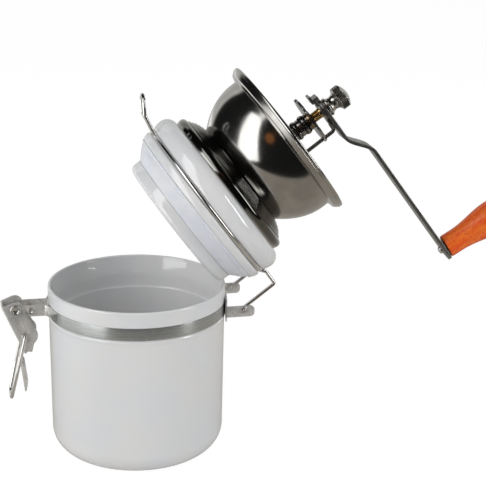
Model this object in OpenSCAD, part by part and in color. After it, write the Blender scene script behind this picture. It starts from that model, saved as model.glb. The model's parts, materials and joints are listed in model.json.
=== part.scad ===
// Manual coffee grinder: a bail-lock ceramic canister whose lid carries the hopper, burrs and crank.
// Millimetres, +Z up. The origin is the centre of the canister's underside.
// The hinge is on the +X side, the latch on the -X side, and the hinge axis runs along Y.
// Everything on the lid is drawn upright, as if the lid were shut, and then swung open about the hinge.

/* [Canister] */
// Height of the canister to the top of its lip
can_h = 98; // [96:0.5:100]
// Outer diameter at the neck and mouth
can_d = 100; // [99:0.5:101]
// Outer diameter low on the body, above the rounded foot
can_low_d = 98.2; // [97:0.1:99]
// Radius of the rounded foot
foot_round = 12.8; // [10:0.2:14]
// Thickness of the floor
floor_t = 7; // [5:0.5:9]
// Inner radius of the body below the ledge
inner_r = 45.2; // [44:0.1:45.6]

/* [Neck band and brackets] */
// Lower edge of the steel band
band_z = 82.2; // [81.8:0.1:82.6]
// Height of the band
band_h = 7; // [6.6:0.1:7.2]
// Thickness of the band
band_t = 0.7; // [0.5:0.1:0.8]
// Distance between the outer faces of the hinge ears
hinge_w = 39.8; // [39.4:0.2:40.4]

/* [Hinge] */
// Distance of the hinge axis from the canister's axis
pivot_x = 57.9; // [57.6:0.1:58.2]
// Height of the hinge axis
pivot_z = 85.2; // [85:0.1:85.4]
// Angle at which the lid stands open
lid_open = 53; // [52:1:54]
// Diameter of the lid's wire
wire_d = 2; // [1.8:0.1:2]

/* [Latch] */
// Height of the lever's rivet
lever_z = 87.7; // [87.6:0.1:87.8]
// Distance of the lever's rivet from the canister's axis
lever_x = 68.5; // [68.2:0.1:68.8]
// Width over the lever's two cheeks
lever_w = 13; // [12.8:0.1:13]
// Diameter of the loop's wire
loop_d = 1.8; // [1.6:0.1:1.8]
// Reach of the loop from its pivot to the middle of its far bar
loop_len = 39; // [38.5:0.1:39.4]

/* [Lid] */
// Radius of the plug that goes into the canister's mouth
plug_r = 40.6; // [40:0.1:41]
// Height of the plug's underside with the lid shut
plug_z = 83.5; // [83:0.5:84]
// Height of the lid's lower lip with the lid shut
lip_z = 99.6; // [99.4:0.1:99.8]
// Height of the lid's top face with the lid shut
lid_top = 119.3; // [119:0.1:119.5]
// Height of the wire's groove with the lid shut
groove_z = 106; // [105.5:0.1:106.2]

/* [Hopper] */
// Height of the hopper's foot with the lid shut
bowl_z = 130.2; // [130:0.1:130.4]
// Radius of the hopper's foot
bowl_foot_r = 31.6; // [31.4:0.1:32]
// Largest radius of the hopper's wall
bowl_r = 42.6; // [42.4:0.1:42.8]
// Radius of the hopper's rim
rim_r = 48.4; // [48:0.1:48.6]
// Height of the rim's top with the lid shut
rim_z = 165; // [164.8:0.1:165.2]

/* [Mill] */
// Radius of the shaft
shaft_r = 3.1; // [3:0.05:3.2]
// Radius of the notched adjusting disc
disc_r = 14.6; // [14.2:0.1:15]
// Number of notches in the adjusting disc
disc_notches = 8; // [6:2:10]
// Widest radius of the inner burr
burr_r = 16; // [15.5:0.1:16.2]

/* [Crank] */
// Distance from the shaft to the knob's pin
crank_r = 114.5; // [110:0.5:118]
// Width of the crank arm
arm_w = 13; // [12:0.5:14]
// Thickness of the crank arm
arm_t = 2; // [1.8:0.1:2.2]
// How far the outer part of the arm stands above the inner part
arm_rise = 9; // [8:0.5:10]
// Length of the wooden knob
knob_len = 50; // [46:1:52]
// Largest radius of the wooden knob
knob_r = 10; // [9.4:0.1:10.5]
// Angle by which the knob and its pin lean outward
knob_lean = 5.5; // [0:0.5:6]

/* [Hidden] */

// Clearance between a turning piece and its bearing, on the radius
run_gap = 0.05;
can_r = can_d / 2;
low_r = can_low_d / 2;
lip_round = 0.9;
groove_floor = can_r - band_t;
band_top = band_z + band_h;
ledge_z = can_h - 18.6;
// Outer and inner faces of the latch bracket's ears, measured from the middle
ear_out = 5.4;
ear_t = 0.8;
cheek_t = 0.8;
rivet_r = 1.5;
ear_bore_r = rivet_r + run_gap;
rivet_head_h = 1;
// The small rivet that holds the latch bracket's ears together
small_rivet_x = 60.4;
small_rivet_z = 86.4;
small_rivet_r = 1.1;
// The lever leans outward from the vertical by this angle
lever_lean = 23.5;
// Loop pivot in the lever's own frame, seen from the lever's rivet
loop_px = -1.6;
loop_pz = -15.75;
loop_lean = 12.9;
wire_r = wire_d / 2;
loop_r = loop_d / 2;
ring_r = 49.3;
arm_y = 17.4;
ear_y = hinge_w / 2;
hinge_ear_t = 1;
hinge_bore_r = wire_r + run_gap;
hook_y = 4.5;
elbow_x = 62;
elbow_z = 108.4;
housing_r = 22.5;
throat_r = 17.5;
neck_r = 18.5;
boss_top = 178.3;
bush_r = 4.6;
washer_t = 0.6;
disc_z = boss_top + washer_t;
disc_t = 1.4;
stopper_z = 186.8;
stopper_t = 1.6;
arm_z = stopper_z + stopper_t;
arm_top = arm_z + arm_t;
spring_t = 1;
nut_z = arm_top + spring_t;
rod_x = 13.5;
rod_r = 1.1;
stud_r = 2.6;
stud_top = 202;
burr_z = 90;
burr_h = 19;
burr_gap = 0.7;
far_z = arm_z + arm_rise;
far_top = far_z + arm_t;
pin_r = 2.5;
pin_tail_r = pin_r - 0.6;
// The pin, its washer and the knob are measured along the pin from the arm's top face
knob_washer_r = 4.4;
knob_washer_t = 0.5;
knob_washer_z = 0.01 + knob_washer_r * sin(knob_lean);
knob_z = knob_washer_z + knob_washer_t + 0.1;
spring_r = 6;
spring_wire_r = 0.5;
spring_turns = 4;
spring_z0 = burr_z + burr_h + 0.1;
spring_h = 7.6;

// Points on an arc from angle a to angle b round (cx, cy)
function arc(cx, cy, r, a, b, n = 8) =
    [for (i = [0 : n]) let (t = a + (b - a) * i / n) [cx + r * cos(t), cy + r * sin(t)]];

// Places pieces of the lid: swings them open about the hinge
module on_lid() {
    translate([pivot_x, 0, pivot_z]) rotate([0, lid_open, 0]) translate([-pivot_x, 0, -pivot_z])
        children();
}

// Places the knob's pieces: stands them on the arm's end, leaning outward
module on_pin() {
    on_lid() translate([crank_r, 0, far_top]) rotate([0, knob_lean, 0]) children();
}

// Places pieces of the lever, drawn about its rivet with the back plate upright
module on_lever() {
    translate([-lever_x, 0, lever_z]) rotate([0, -lever_lean, 0]) children();
}

// A round bar between two points
module rod(p, q, r) {
    d = q - p;
    translate(p) rotate([0, acos(d.z / norm(d)), atan2(d.y, d.x)])
        cylinder(r = r, h = norm(d), $fn = 24);
}

// A ball where two bars meet, a hair thicker than the bars
module corner(p, r) { translate(p) sphere(r = 1.03 * r, $fn = 24); }

// A bored ring
module ring(r_in, r_out, z, h) {
    translate([0, 0, z]) difference() {
        cylinder(r = r_out, h = h, $fn = 96);
        translate([0, 0, -1]) cylinder(r = r_in, h = h + 2, $fn = 96);
    }
}

// The canister and what is fixed round its neck

module canister() {
    color("whitesmoke") rotate_extrude($fn = 128) polygon(concat(
        [[0, 0]],
        arc(low_r - foot_round, foot_round, foot_round, -90, 0, 12),
        [[can_r - 0.35, band_z - 4.2]],
        arc(can_r - 1.4, band_z - 1.6, 1.4, -25, 60, 5),
        [[groove_floor, band_z], [groove_floor, band_top], [can_r, band_top]],
        arc(can_r - lip_round, can_h - lip_round, lip_round, 0, 180, 10),
        [[47.2, can_h - 4], [46.5, can_h - 8], [46.3, ledge_z + 0.3], [inner_r, ledge_z - 0.5]],
        arc(inner_r - 9, floor_t + 9, 9, 0, -90, 8),
        [[0, floor_t]]));
}

module neck_band() {
    color("silver") ring(groove_floor, can_r, band_z, band_h);
}

// Points along the hinge bracket's back plate, at this distance out from the neck: it follows the neck
// for a little way on each side of the middle and then runs straight to the ears
function back_line(out) = let (turn = 10, r = can_r + out, reach = (ear_y - r * sin(turn)) / cos(turn))
    concat([[r * cos(turn) - reach * sin(turn), -ear_y]], arc(0, 0, r, -turn, turn, 6),
        [[r * cos(turn) - reach * sin(turn), ear_y]]);

module hinge_bracket() {
    ear_low = 80.8;
    ear_high = 87.2;
    ear_root = 47.5;
    ear_end = 64;
    nose_r = 2.4;
    plate_low = 78.5;
    plate_h = 13.1;
    plate_t = 0.9;
    color("silver") {
        difference() {
            translate([0, 0, plate_low]) linear_extrude(plate_h)
                polygon(concat(back_line(-0.05), [for (i = [8 : -1 : 0]) back_line(plate_t)[i]]));
            cylinder(r = can_r, h = 120, $fn = 128);
        }
        for (y = [-ear_y + hinge_ear_t, ear_y]) difference() {
            translate([0, y, 0]) rotate([90, 0, 0]) linear_extrude(hinge_ear_t) union() {
                translate([ear_root, ear_low]) square([ear_end - nose_r - ear_root, ear_high - ear_low]);
                translate([ear_end - 2 * nose_r, ear_low + nose_r])
                    square([2 * nose_r, ear_high - ear_low - 2 * nose_r]);
                for (z = [ear_low + nose_r, ear_high - nose_r])
                    translate([ear_end - nose_r, z]) circle(r = nose_r, $fn = 48);
            }
            translate([pivot_x, 0, pivot_z]) rotate([90, 0, 0])
                cylinder(r = hinge_bore_r, h = 60, center = true, $fn = 32);
        }
    }
}

module latch_bracket() {
    ear_low = 83;
    ear_high = 89.6;
    ear_root = 49;
    ear_nose_r = 5;
    wing_y = 18.8;
    wing_tip_low = 88.6;
    rib_r = 0.35;
    rib_z = 87.6;
    color("silver") difference() {
        union() {
            // Two wings lie on the neck and taper to the top of the band
            intersection() {
                ring(can_r, can_r + ear_t, ear_low, band_top - ear_low);
                translate([-80, 0, 0]) rotate([90, 0, 90]) linear_extrude(80) polygon([
                    [-wing_y, band_top + 1], [-wing_y, wing_tip_low], [-ear_out, ear_low], [ear_out, ear_low],
                    [wing_y, wing_tip_low], [wing_y, band_top + 1]]);
            }
            for (y = [-ear_out + ear_t, ear_out]) translate([0, y, 0]) rotate([90, 0, 0])
                linear_extrude(ear_t) intersection() {
                    translate([-80, ear_low]) square([80 - ear_root, ear_high - ear_low]);
                    union() {
                        translate([-lever_x, ear_low - 1]) square([lever_x, 20]);
                        translate([-lever_x, lever_z]) circle(r = ear_nose_r, $fn = 64);
                    }
                }
            // Each ear turns into its wing by a bend
            for (s = [-1, 1]) translate([0, 0, ear_low]) linear_extrude(band_top - ear_low) polygon([
                [-52.8, s * (ear_out - 0.2)], [-51.7, s * 5.8], [-51, s * 6.8], [-50.2, s * 8.4],
                [-49.4, s * 8.2], [-49.4, s * (ear_out - 0.3)]]);
            for (s = [-1, 1]) translate([-58, s * ear_out, rib_z])
                rotate([0, 90, 0]) cylinder(r = rib_r, h = 6, $fn = 16);
        }
        translate([-lever_x, 0, lever_z]) rotate([90, 0, 0])
            cylinder(r = rivet_r, h = 40, center = true, $fn = 32);
        translate([-small_rivet_x, 0, small_rivet_z]) rotate([90, 0, 0])
            cylinder(r = small_rivet_r, h = 40, center = true, $fn = 32);
        cylinder(r = can_r, h = 120, $fn = 128);
    }
}

module band_screw() {
    color("gainsboro") translate([-small_rivet_x, 0, small_rivet_z]) rotate([90, 0, 0]) {
        cylinder(r = small_rivet_r, h = 2 * ear_out, center = true, $fn = 32);
        for (s = [0, 1]) mirror([0, 0, s]) translate([0, 0, ear_out]) rotate_extrude($fn = 32)
            polygon(concat([[0, 0], [1.8, 0]], arc(0, -1.6, 2.41, 41.6, 90, 5)));
    }
}

module lever_rivet() {
    head_r = 3;
    edge = 0.15;
    rise = rivet_head_h - edge;
    ball_r = (head_r * head_r + rise * rise) / (2 * rise);
    color("silver") translate([-lever_x, 0, lever_z]) rotate([90, 0, 0]) {
        cylinder(r = rivet_r, h = lever_w + 0.4, center = true, $fn = 32);
        for (s = [0, 1]) mirror([0, 0, s]) translate([0, 0, lever_w / 2 + 0.1]) rotate_extrude($fn = 40)
            polygon(concat([[0, 0], [head_r, 0]],
                arc(0, rivet_head_h - ball_r, ball_r, acos(head_r / ball_r), 90, 6)));
    }
}

// The latch: a pressed lever with two cheeks and a tongue, and the wire loop that it pulls

module latch_lever() {
    back_x = -6.5;
    foot_z = -25.9;
    top_z = 4.4;
    lobe_r = 4.3;
    waist = [3.95, -5.9];
    tongue_x = -10.4;
    tongue_z = -27.1;
    tongue_len = 22.6;
    tongue_r = 6;
    neck = 5;
    color("silver") on_lever() difference() {
        union() {
            translate([back_x, -lever_w / 2, foot_z]) cube([cheek_t, lever_w, top_z - foot_z]);
            for (y = [-lever_w / 2 + cheek_t, lever_w / 2]) translate([0, y, 0]) rotate([90, 0, 0])
                linear_extrude(cheek_t) polygon(concat(
                    [[back_x, foot_z], [back_x, top_z]],
                    arc(0.3, -0.1, lobe_r, 90, -20, 12),
                    [waist],
                    arc(-0.8, -16.7, 6, 26, -75, 9),
                    [[-2.4, -26.7], [-4.4, -25.3]]));
            // The foot steps outward, and the tongue hangs from the step
            translate([0, neck, 0]) rotate([90, 0, 0]) linear_extrude(2 * neck) polygon([
                [back_x, -24.2], [tongue_x, tongue_z], [-9.8, -27.6], [-5.8, -24.6]]);
            translate([tongue_x, 0, tongue_z]) rotate([0, 16.5, 0]) translate([0, 0, -tongue_len])
                rotate([90, 0, 90]) linear_extrude(0.9) union() {
                    translate([-tongue_r, tongue_r]) square([2 * tongue_r, 12]);
                    translate([-neck, tongue_r]) square([2 * neck, tongue_len - tongue_r]);
                    for (y = [-1, 1]) translate([y * 3.5, 18]) circle(r = 2.5, $fn = 32);
                    translate([0, tongue_r]) circle(r = tongue_r, $fn = 48);
                }
        }
        rotate([90, 0, 0]) cylinder(r = ear_bore_r, h = 40, center = true, $fn = 32);
        translate([loop_px, 0, loop_pz]) rotate([90, 0, 0])
            cylinder(r = loop_r + run_gap, h = 40, center = true, $fn = 32);
    }
}

module latch_loop() {
    // The sides pass outside the lever's rivet
    side_y = lever_w / 2 + rivet_head_h + 0.2 + loop_r;
    end_y = 6.7;
    bend = 4.5;
    taper_z = -22;
    color("silver") on_lever() translate([loop_px, 0, loop_pz])
        rotate([0, lever_lean + loop_lean, 0]) {
            for (s = [-1, 1]) {
                rod([0, s * 4.6, 0], [0, s * side_y, 0], loop_r);
                corner([0, s * side_y, 0], loop_r);
                rod([0, s * side_y, 0], [0, s * side_y, taper_z], loop_r);
                corner([0, s * side_y, taper_z], loop_r);
                rod([0, s * side_y, taper_z], [0, s * end_y, -loop_len + bend], loop_r);
                corner([0, s * end_y, -loop_len + bend], loop_r);
                corner([0, s * (end_y - bend), -loop_len], loop_r);
                translate([0, s * (end_y - bend), -loop_len + bend]) rotate([90, 0, s > 0 ? 90 : -90])
                    rotate([0, 0, -90]) rotate_extrude(angle = 90, $fn = 48)
                        translate([bend, 0]) circle(r = loop_r, $fn = 24);
            }
            rod([0, -end_y + bend, -loop_len], [0, end_y - bend, -loop_len], loop_r);
        }
}

// The lid and what is fixed to it

module lid() {
    cavity_r = 35.5;
    cavity_top = 112.8;
    bulge = 6.7;
    groove_r = wire_r + 0.25;
    color("whitesmoke") on_lid() rotate_extrude($fn = 128) polygon(concat(
        [[cavity_r, plug_z + 1]],
        arc(cavity_r + 1.2, plug_z + 1.2, 1.2, 180, 270, 4),
        arc(plug_r - 3.2, plug_z + 3.2, 3.2, -90, 0, 6),
        [[plug_r, 90.4], [40, 90.6], [40, lip_z], [48.2, lip_z]],
        arc(48.2, lip_z + 1.2, 1.2, -90, -20, 5),
        [[49.9, lip_z + 2.2], [50.1, groove_z - 2.9], [49.95, groove_z - 2.1], [49.55, groove_z - 1.55]],
        arc(ring_r, groove_z, groove_r, -102, -258, 8),
        [[49.5, groove_z + 1.5], [49.95, groove_z + 2.1], [50.4, groove_z + 3.2], [50.75, groove_z + 4.9]],
        arc(lid_top - 75.1, lid_top - bulge, bulge, 0, 90, 12),
        [[housing_r, lid_top], [housing_r, cavity_top]],
        arc(cavity_r - 4, cavity_top - 4, 4, 90, 0, 5)));
}

module gasket() {
    color("lavender") on_lid() rotate_extrude($fn = 96) polygon([
        [40, 90.6], [40.7, 90.6], [42.3, 92.4], [44.4, 94.2], [45.7, 95.6], [46.7, 96.9],
        [47.5, 98.1], [48.5, 98.6], [49, 99.1], [48.7, lip_z], [40, lip_z]]);
}

module lid_wire() {
    exit_a = asin(arm_y / ring_r);
    hook_a = asin(hook_y / ring_r);
    exit_p = [ring_r * cos(exit_a), arm_y, groove_z];
    rise_p = [48.7, arm_y, 108.1];
    bend_p = [57.8, arm_y, 107.8];
    end_p = [pivot_x, arm_y, pivot_z];
    hook_p = [-ring_r * cos(hook_a), hook_y, groove_z];
    elbow_p = [-elbow_x, hook_y, elbow_z];
    tip_a = 34;
    straight = 6;
    turn_p = elbow_p + straight * [-cos(tip_a), 0, sin(tip_a)];
    color("silver") on_lid() {
        for (s = [0, 1]) mirror([0, s, 0]) {
            translate([0, 0, groove_z]) rotate([0, 0, exit_a])
                rotate_extrude(angle = 180 - hook_a - exit_a, $fn = 128)
                    translate([ring_r, 0]) circle(r = wire_r, $fn = 24);
            rod(exit_p, rise_p, wire_r);
            corner(exit_p, wire_r);
            rod(rise_p, bend_p, wire_r);
            corner(rise_p, wire_r);
            corner(bend_p, wire_r);
            rod(bend_p, end_p, wire_r);
            corner(end_p, wire_r);
            rod(end_p, end_p + [0, ear_y - arm_y + 1, 0], wire_r);
            translate(end_p + [0, ear_y - arm_y + 0.9, 0]) rotate([90, 0, 0])
                cylinder(r1 = 1.5, r2 = 1.8, h = 0.8, $fn = 32);
            corner(hook_p, wire_r);
            rod(hook_p, elbow_p, wire_r);
            corner(elbow_p, wire_r);
            rod(elbow_p, turn_p, wire_r);
            corner(turn_p, wire_r);
        }
        translate([turn_p.x, 0, turn_p.z]) rotate([0, tip_a, 0]) rotate([0, 0, 90])
            rotate_extrude(angle = 180, $fn = 48)
                translate([hook_y, 0]) circle(r = wire_r, $fn = 24);
    }
}

module collar() {
    shell = 1.2;
    color("dimgray") on_lid() rotate_extrude($fn = 128) polygon(concat(
        [[43.2, lid_top], [44.1, lid_top]],
        arc(41.9, lid_top + 2.7, 2.7, -20, 75, 8),
        [[41.2, 125.1], [41.2, 125.6], [39.6, 126.2], [39.6, 126.7], [38.2, 127.2], [38.2, 127.8],
         [36.4, 128.2], [36.4, 128.7], [34.2, 129.1], [34.2, 129.5], [32.2, 129.8], [31.8, bowl_z],
         [neck_r, bowl_z], [neck_r, bowl_z - shell], [30.5, bowl_z - shell - 0.6],
         [37.4, 126.2], [40.6, 124.2], [43.2, 121.6]]));
}

// Outer radius of the hopper's wall at height z
function bowl_out(z) = bowl_r - (bowl_r - bowl_foot_r) * pow(max(0, 156.5 - z) / (156.5 - bowl_z), 2.1);

module hopper_bowl() {
    wall = 1;
    top_wall = rim_z - 6;
    steps = 14;
    zs = [for (i = [0 : steps]) bowl_z + (top_wall - bowl_z) * i / steps];
    color("slategray") on_lid() rotate_extrude($fn = 128) polygon(concat(
        [[throat_r, bowl_z], [bowl_foot_r, bowl_z]],
        [for (z = zs) [bowl_out(z), z]],
        [[42.9, top_wall + 0.25], [rim_r - 2.3, top_wall + 1.05], [rim_r - 1.9, top_wall + 1.35],
         [rim_r - 0.05, top_wall + 3.85], [rim_r - 0.35, top_wall + 4.15]],
        arc(rim_r - 0.95, rim_z - 0.95, 0.95, -40, 90, 6),
        [[43.4, rim_z - 0.4]],
        arc(bowl_r - wall + 1.6, rim_z - 2, 1.6, 90, 180, 4),
        [for (i = [steps : -1 : 2]) [bowl_out(zs[i]) - wall, zs[i]]],
        [[29, bowl_z + 3.2], [22, bowl_z + 1.8], [throat_r, bowl_z + 1.2]]));
}

// A bridge across the hopper, cut to the bowl's inner face, with a hole for the boss
module hopper_bridge() {
    z = 151.5;
    t = 2.4;
    color("dimgray") on_lid() difference() {
        union() {
            intersection() {
                translate([-50, -5.5, z]) cube([100, 11, t]);
                cylinder(r = bowl_out(z) - 1.02, h = 200, $fn = 128);
            }
            for (s = [-1, 1]) intersection() {
                translate([s > 0 ? 38 : -44, -5.5, z - 6]) cube([6, 11, 6.1]);
                translate([0, 0, z - 7]) difference() {
                    cylinder(r1 = bowl_out(z - 7) - 1.02, r2 = bowl_out(z) - 1.02, h = 7.2, $fn = 128);
                    translate([0, 0, -1]) cylinder(r = 38.6, h = 10, $fn = 96);
                }
            }
            translate([0, 0, z]) cylinder(r = 10, h = t, $fn = 64);
        }
        translate([0, 0, z - 1]) cylinder(r = 6.4, h = 10, $fn = 48);
    }
}

module bridge_rivets() {
    color("silver") on_lid() for (s = [-1, 1]) translate([s * 36, 0, 153.9])
        rotate_extrude($fn = 32) polygon(concat([[0, 0], [2.4, 0]], arc(0, -1.4, 2.78, 30.3, 90, 5)));
}

module bearing_boss() {
    foot_z = 151.5;
    foot_r = 8.2;
    hole_r = 6.4;
    color("dimgray") on_lid() rotate_extrude($fn = 64) polygon(concat(
        [[bush_r, foot_z - 1.5], [foot_r - 0.2, foot_z - 1.5], [foot_r - 0.2, foot_z], [hole_r, foot_z],
         [hole_r, foot_z + 2.4], [foot_r, foot_z + 2.4], [foot_r, foot_z + 4], [6.2, foot_z + 5.4],
         [5.4, 163.5], [5.1, 166], [5.2, 167.6]],
        arc(3.7, 169.8, 2, -45, 50, 6),
        [[5.1, 172.2], [5.1, 172.9]],
        arc(3.6, 175.3, 2.3, -50, 50, 6),
        [[5.1, 177.5], [5.1, boss_top - 0.3], [4.8, boss_top], [bush_r, boss_top]]));
}

module bearing_bush() {
    color("goldenrod") on_lid() ring(shaft_r + run_gap, bush_r, 150, boss_top - 150);
}

module burr_housing() {
    z0 = burr_z + 1;
    shelf = bowl_z - 1.2;
    color("gray") on_lid() rotate_extrude($fn = 96) polygon([
        [20.2, z0], [housing_r - 0.9, z0], [housing_r - 0.9, cavity_thread()], [housing_r, cavity_thread()],
        [housing_r, lid_top], [26.5, lid_top], [26.5, lid_top + 1.6], [housing_r, lid_top + 1.6],
        [22.5, shelf - 0.4], [neck_r + 0.6, shelf], [throat_r, shelf], [throat_r, 113.4], [20.2, 110.4]]);
}

// Height at which the housing narrows for its nut
function cavity_thread() = 112.8;

module housing_nut() {
    color("silver") on_lid() difference() {
        translate([0, 0, cavity_thread() - 4]) cylinder(r = 28.5, h = 4, $fn = 96);
        translate([0, 0, cavity_thread() - 5]) cylinder(r = housing_r - 0.9, h = 6, $fn = 96);
        for (i = [0 : 5]) rotate([0, 0, 60 * i]) translate([26.4, -2, cavity_thread() - 5])
            cube([4, 4, 6]);
    }
}

// Radius of the inner burr at height z, measured from its wide lower end
function burr_cone(z) = burr_r - 0.9 * (z <= 3 ? 0 : (z - 3) * 0.55);

module outer_burr() {
    teeth = 18;
    z1 = burr_z + burr_h + 0.4;
    color("gray") on_lid() difference() {
        rotate_extrude($fn = 96) polygon([
            [burr_r + burr_gap + 0.1, burr_z + 1.6], [20.2, burr_z + 1.6], [20.2, z1],
            [burr_cone(burr_h) + 6.4, z1], [burr_cone(burr_h) + burr_gap + 1.8, z1 - 4],
            [burr_cone(3) + burr_gap + 0.1, burr_z + 4.6]]);
        for (i = [0 : teeth - 1]) rotate([0, 0, 360 / teeth * i])
            translate([burr_r - 2.6, 0, burr_z + 5]) rotate([0, -14, 0]) rotate([0, 0, 20])
                cube([4.2, 1.2, 20]);
    }
}

module lower_bearing() {
    z = 117.4;
    h = 3.2;
    color("gray") on_lid() difference() {
        union() {
            translate([0, 0, z]) cylinder(r = 6.4, h = h, $fn = 48);
            intersection() {
                for (i = [0 : 2]) rotate([0, 0, 120 * i + 30]) translate([0, -1.8, z]) cube([30, 3.6, h]);
                cylinder(r = throat_r, h = 200, $fn = 96);
            }
        }
        cylinder(r = shaft_r + run_gap, h = 300, $fn = 48);
    }
}

// The adjusting disc, which turns on the boss with the crank

module thrust_washer() {
    color("darkkhaki") on_lid() ring(shaft_r + 0.2, 5, boss_top + 0.02, washer_t - 0.02);
}

module adjusting_disc() {
    bore = shaft_r + run_gap;
    color("dimgray") on_lid() difference() {
        union() {
            translate([0, 0, disc_z]) cylinder(r = disc_r, h = disc_t, $fn = 96);
            translate([0, 0, disc_z]) cylinder(r = 5.4, h = disc_t + 0.8, $fn = 48);
        }
        cylinder(r = bore, h = 300, $fn = 48);
        for (i = [0 : disc_notches - 1]) rotate([0, 0, 360 / disc_notches * i])
            translate([rod_x, 0, disc_z - 1]) {
                cylinder(r = rod_r + 0.25, h = 5, $fn = 24);
                translate([0, -rod_r - 0.25, 0]) cube([5, 2 * rod_r + 0.5, 5]);
            }
    }
}

// The spindle: all that turns with the crank and rises with the shaft

module shaft() {
    thread_z = 165;
    pitch = 1;
    turns = floor((stopper_z - 0.6 - thread_z) / pitch);
    deep = 0.45;
    color("darkgoldenrod") on_lid() {
        rotate_extrude($fn = 48) polygon(concat(
            [[0, burr_z - 2], [shaft_r, burr_z - 2], [shaft_r, thread_z]],
            [for (i = [0 : turns - 1]) each [[shaft_r - deep, thread_z + pitch * (i + 0.3)],
                                             [shaft_r, thread_z + pitch * (i + 0.8)]]],
            [[shaft_r, stopper_z - 0.6], [shaft_r, stopper_z], [stud_r, stopper_z], [stud_r, stud_top - 0.5],
             [stud_r - 0.5, stud_top], [0, stud_top]]));
    }
}

module inner_burr() {
    flutes = 12;
    color("darkgray") on_lid() difference() {
        rotate_extrude($fn = 96) polygon([
            [shaft_r, burr_z], [burr_r - 1, burr_z], [burr_r, burr_z + 1], [burr_r, burr_z + 3],
            [burr_cone(burr_h), burr_z + burr_h], [shaft_r, burr_z + burr_h]]);
        for (i = [0 : flutes - 1]) rotate([0, 0, 360 / flutes * i])
            translate([burr_r - 1.6, 0, burr_z + 3.4]) rotate([0, -27, 0]) rotate([18, 0, 0])
                translate([0, -0.9, 0]) cube([4, 1.8, 24]);
    }
}

module burr_washer() {
    color("silver") on_lid() ring(1.9, 8.5, burr_z - 2.2 - 1.2, 1.2);
    color("silver") on_lid() ring(shaft_r, 6.5, burr_z - 2.2, 2.2);
}

module burr_screw() {
    head_z = burr_z - 3.4;
    color("gainsboro") on_lid() difference() {
        union() {
            translate([0, 0, head_z - 2.6]) cylinder(r = 3.8, h = 2.6, $fn = 48);
            translate([0, 0, head_z]) cylinder(r = 1.9, h = 1.4, $fn = 32);
        }
        translate([-5, -0.5, head_z - 3]) cube([10, 1, 1.4]);
    }
}

// Points of the spring's centre line: a ring of points for each step along the helix
spring_rings = 8 * spring_turns;
function spring_at(i) = let (a = 360 * i / 8)
    [spring_r * cos(a), spring_r * sin(a), spring_z0 + spring_wire_r + (spring_h - 2 * spring_wire_r) * i / spring_rings];
function spring_ring(i) = let (c = spring_at(i), a = 360 * i / 8)
    [for (k = [0 : 5]) c + spring_wire_r * (cos(60 * k) * [cos(a), sin(a), 0] + sin(60 * k) * [0, 0, 1])];
echo(spring_least_gap = min([for (i = [0 : spring_rings - 8]) norm(spring_at(i + 8) - spring_at(i))
                             - 2 * spring_wire_r]));

module burr_spring() {
    last = spring_rings;
    color("silver") on_lid() polyhedron(
        points = [for (i = [0 : last]) each spring_ring(i)],
        faces = concat(
            [[for (k = [0 : 5]) k]],
            [for (i = [0 : last - 1]) for (k = [0 : 5]) let (a = 6 * i + k, b = 6 * i + (k + 1) % 6)
                each [[a, a + 6, b], [b, a + 6, b + 6]]],
            [[for (k = [5 : -1 : 0]) 6 * last + k]]));
}

module stopper_plate() {
    tab_w = 7;
    rod_end = 160.5;
    bend = 1.6;
    color("dimgray") on_lid() difference() {
        union() {
            translate([0, 0, stopper_z]) cylinder(r = 6, h = stopper_t, $fn = 48);
            translate([0, -tab_w / 2, stopper_z]) cube([8, tab_w, stopper_t]);
            translate([6, -2.4, stopper_z]) cube([rod_x - 7, 4.8, stopper_t]);
            rod([10, 0, stopper_z + 0.8], [rod_x - 0.4, 0, stopper_z + 0.8], 0.8);
            corner([rod_x, 0, stopper_z + 0.2], rod_r);
            translate([rod_x - 1.6, -1, stopper_z - 0.8]) cube([1.6, 2, 1.8]);
            rod([rod_x, 0, rod_end], [rod_x, 0, stopper_z + 0.2], rod_r);
            translate([-8.6, -tab_w / 2, stopper_z]) cube([8.6, tab_w, stopper_t]);
            translate([-8.6, -tab_w / 2, stopper_z - 1.4]) cube([1.4, tab_w, 3]);
            translate([-12.2, -tab_w / 2, stopper_z - 1.4]) cube([4.2, tab_w, 1.4]);
            translate([-9.8, -tab_w / 2, stopper_z - 1]) cube([2.4, tab_w, 4.4]);
        }
        translate([0, 0, stopper_z - 3]) cylinder(r = stud_r, h = 8, $fn = 48);
    }
}

// Side view of the crank arm's centre: flat, an S-bend, flat
function arm_line(x) = let (a = 19, b = 37, t = max(0, min(1, (x - a) / (b - a))))
    arm_rise * t * t * (3 - 2 * t);

module crank_arm() {
    bend_x = [for (i = [0 : 16]) 17 + 22 * i / 16];
    end_x = crank_r + 1;
    color("dimgray") on_lid() difference() {
        intersection() {
            translate([0, 20, 0]) rotate([90, 0, 0]) linear_extrude(40) polygon(concat(
                [[-10, arm_z]], [for (x = bend_x) [x + slope_shift(x) / 2, arm_z + arm_line(x) + dip(x)]],
                [[140, far_z], [140, far_top]],
                [for (i = [16 : -1 : 0]) let (x = bend_x[i])
                    [x - slope_shift(x) / 2, arm_z + arm_t + arm_line(x) - dip(x)]],
                [[-10, arm_top]]));
            translate([0, 0, 150]) linear_extrude(80) union() {
                circle(r = arm_w / 2, $fn = 64);
                translate([0, -arm_w / 2]) square([end_x, arm_w]);
                translate([end_x, 0]) circle(r = arm_w / 2, $fn = 64);
            }
        }
        translate([0, 0, 150]) cylinder(r = stud_r, h = 80, $fn = 48);
        translate([crank_r, 0, far_top]) rotate([0, knob_lean, 0])
            cylinder(r = pin_tail_r, h = 30, center = true, $fn = 48);
    }
}

// Keeps the strip as thick on the slope as on the flats
function arm_slope(x) = (arm_line(x + 0.1) - arm_line(x - 0.1)) / 0.2;
function slope_shift(x) = arm_t * sin(atan(arm_slope(x)));
function dip(x) = arm_t * (1 - cos(atan(arm_slope(x)))) / 2;

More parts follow.
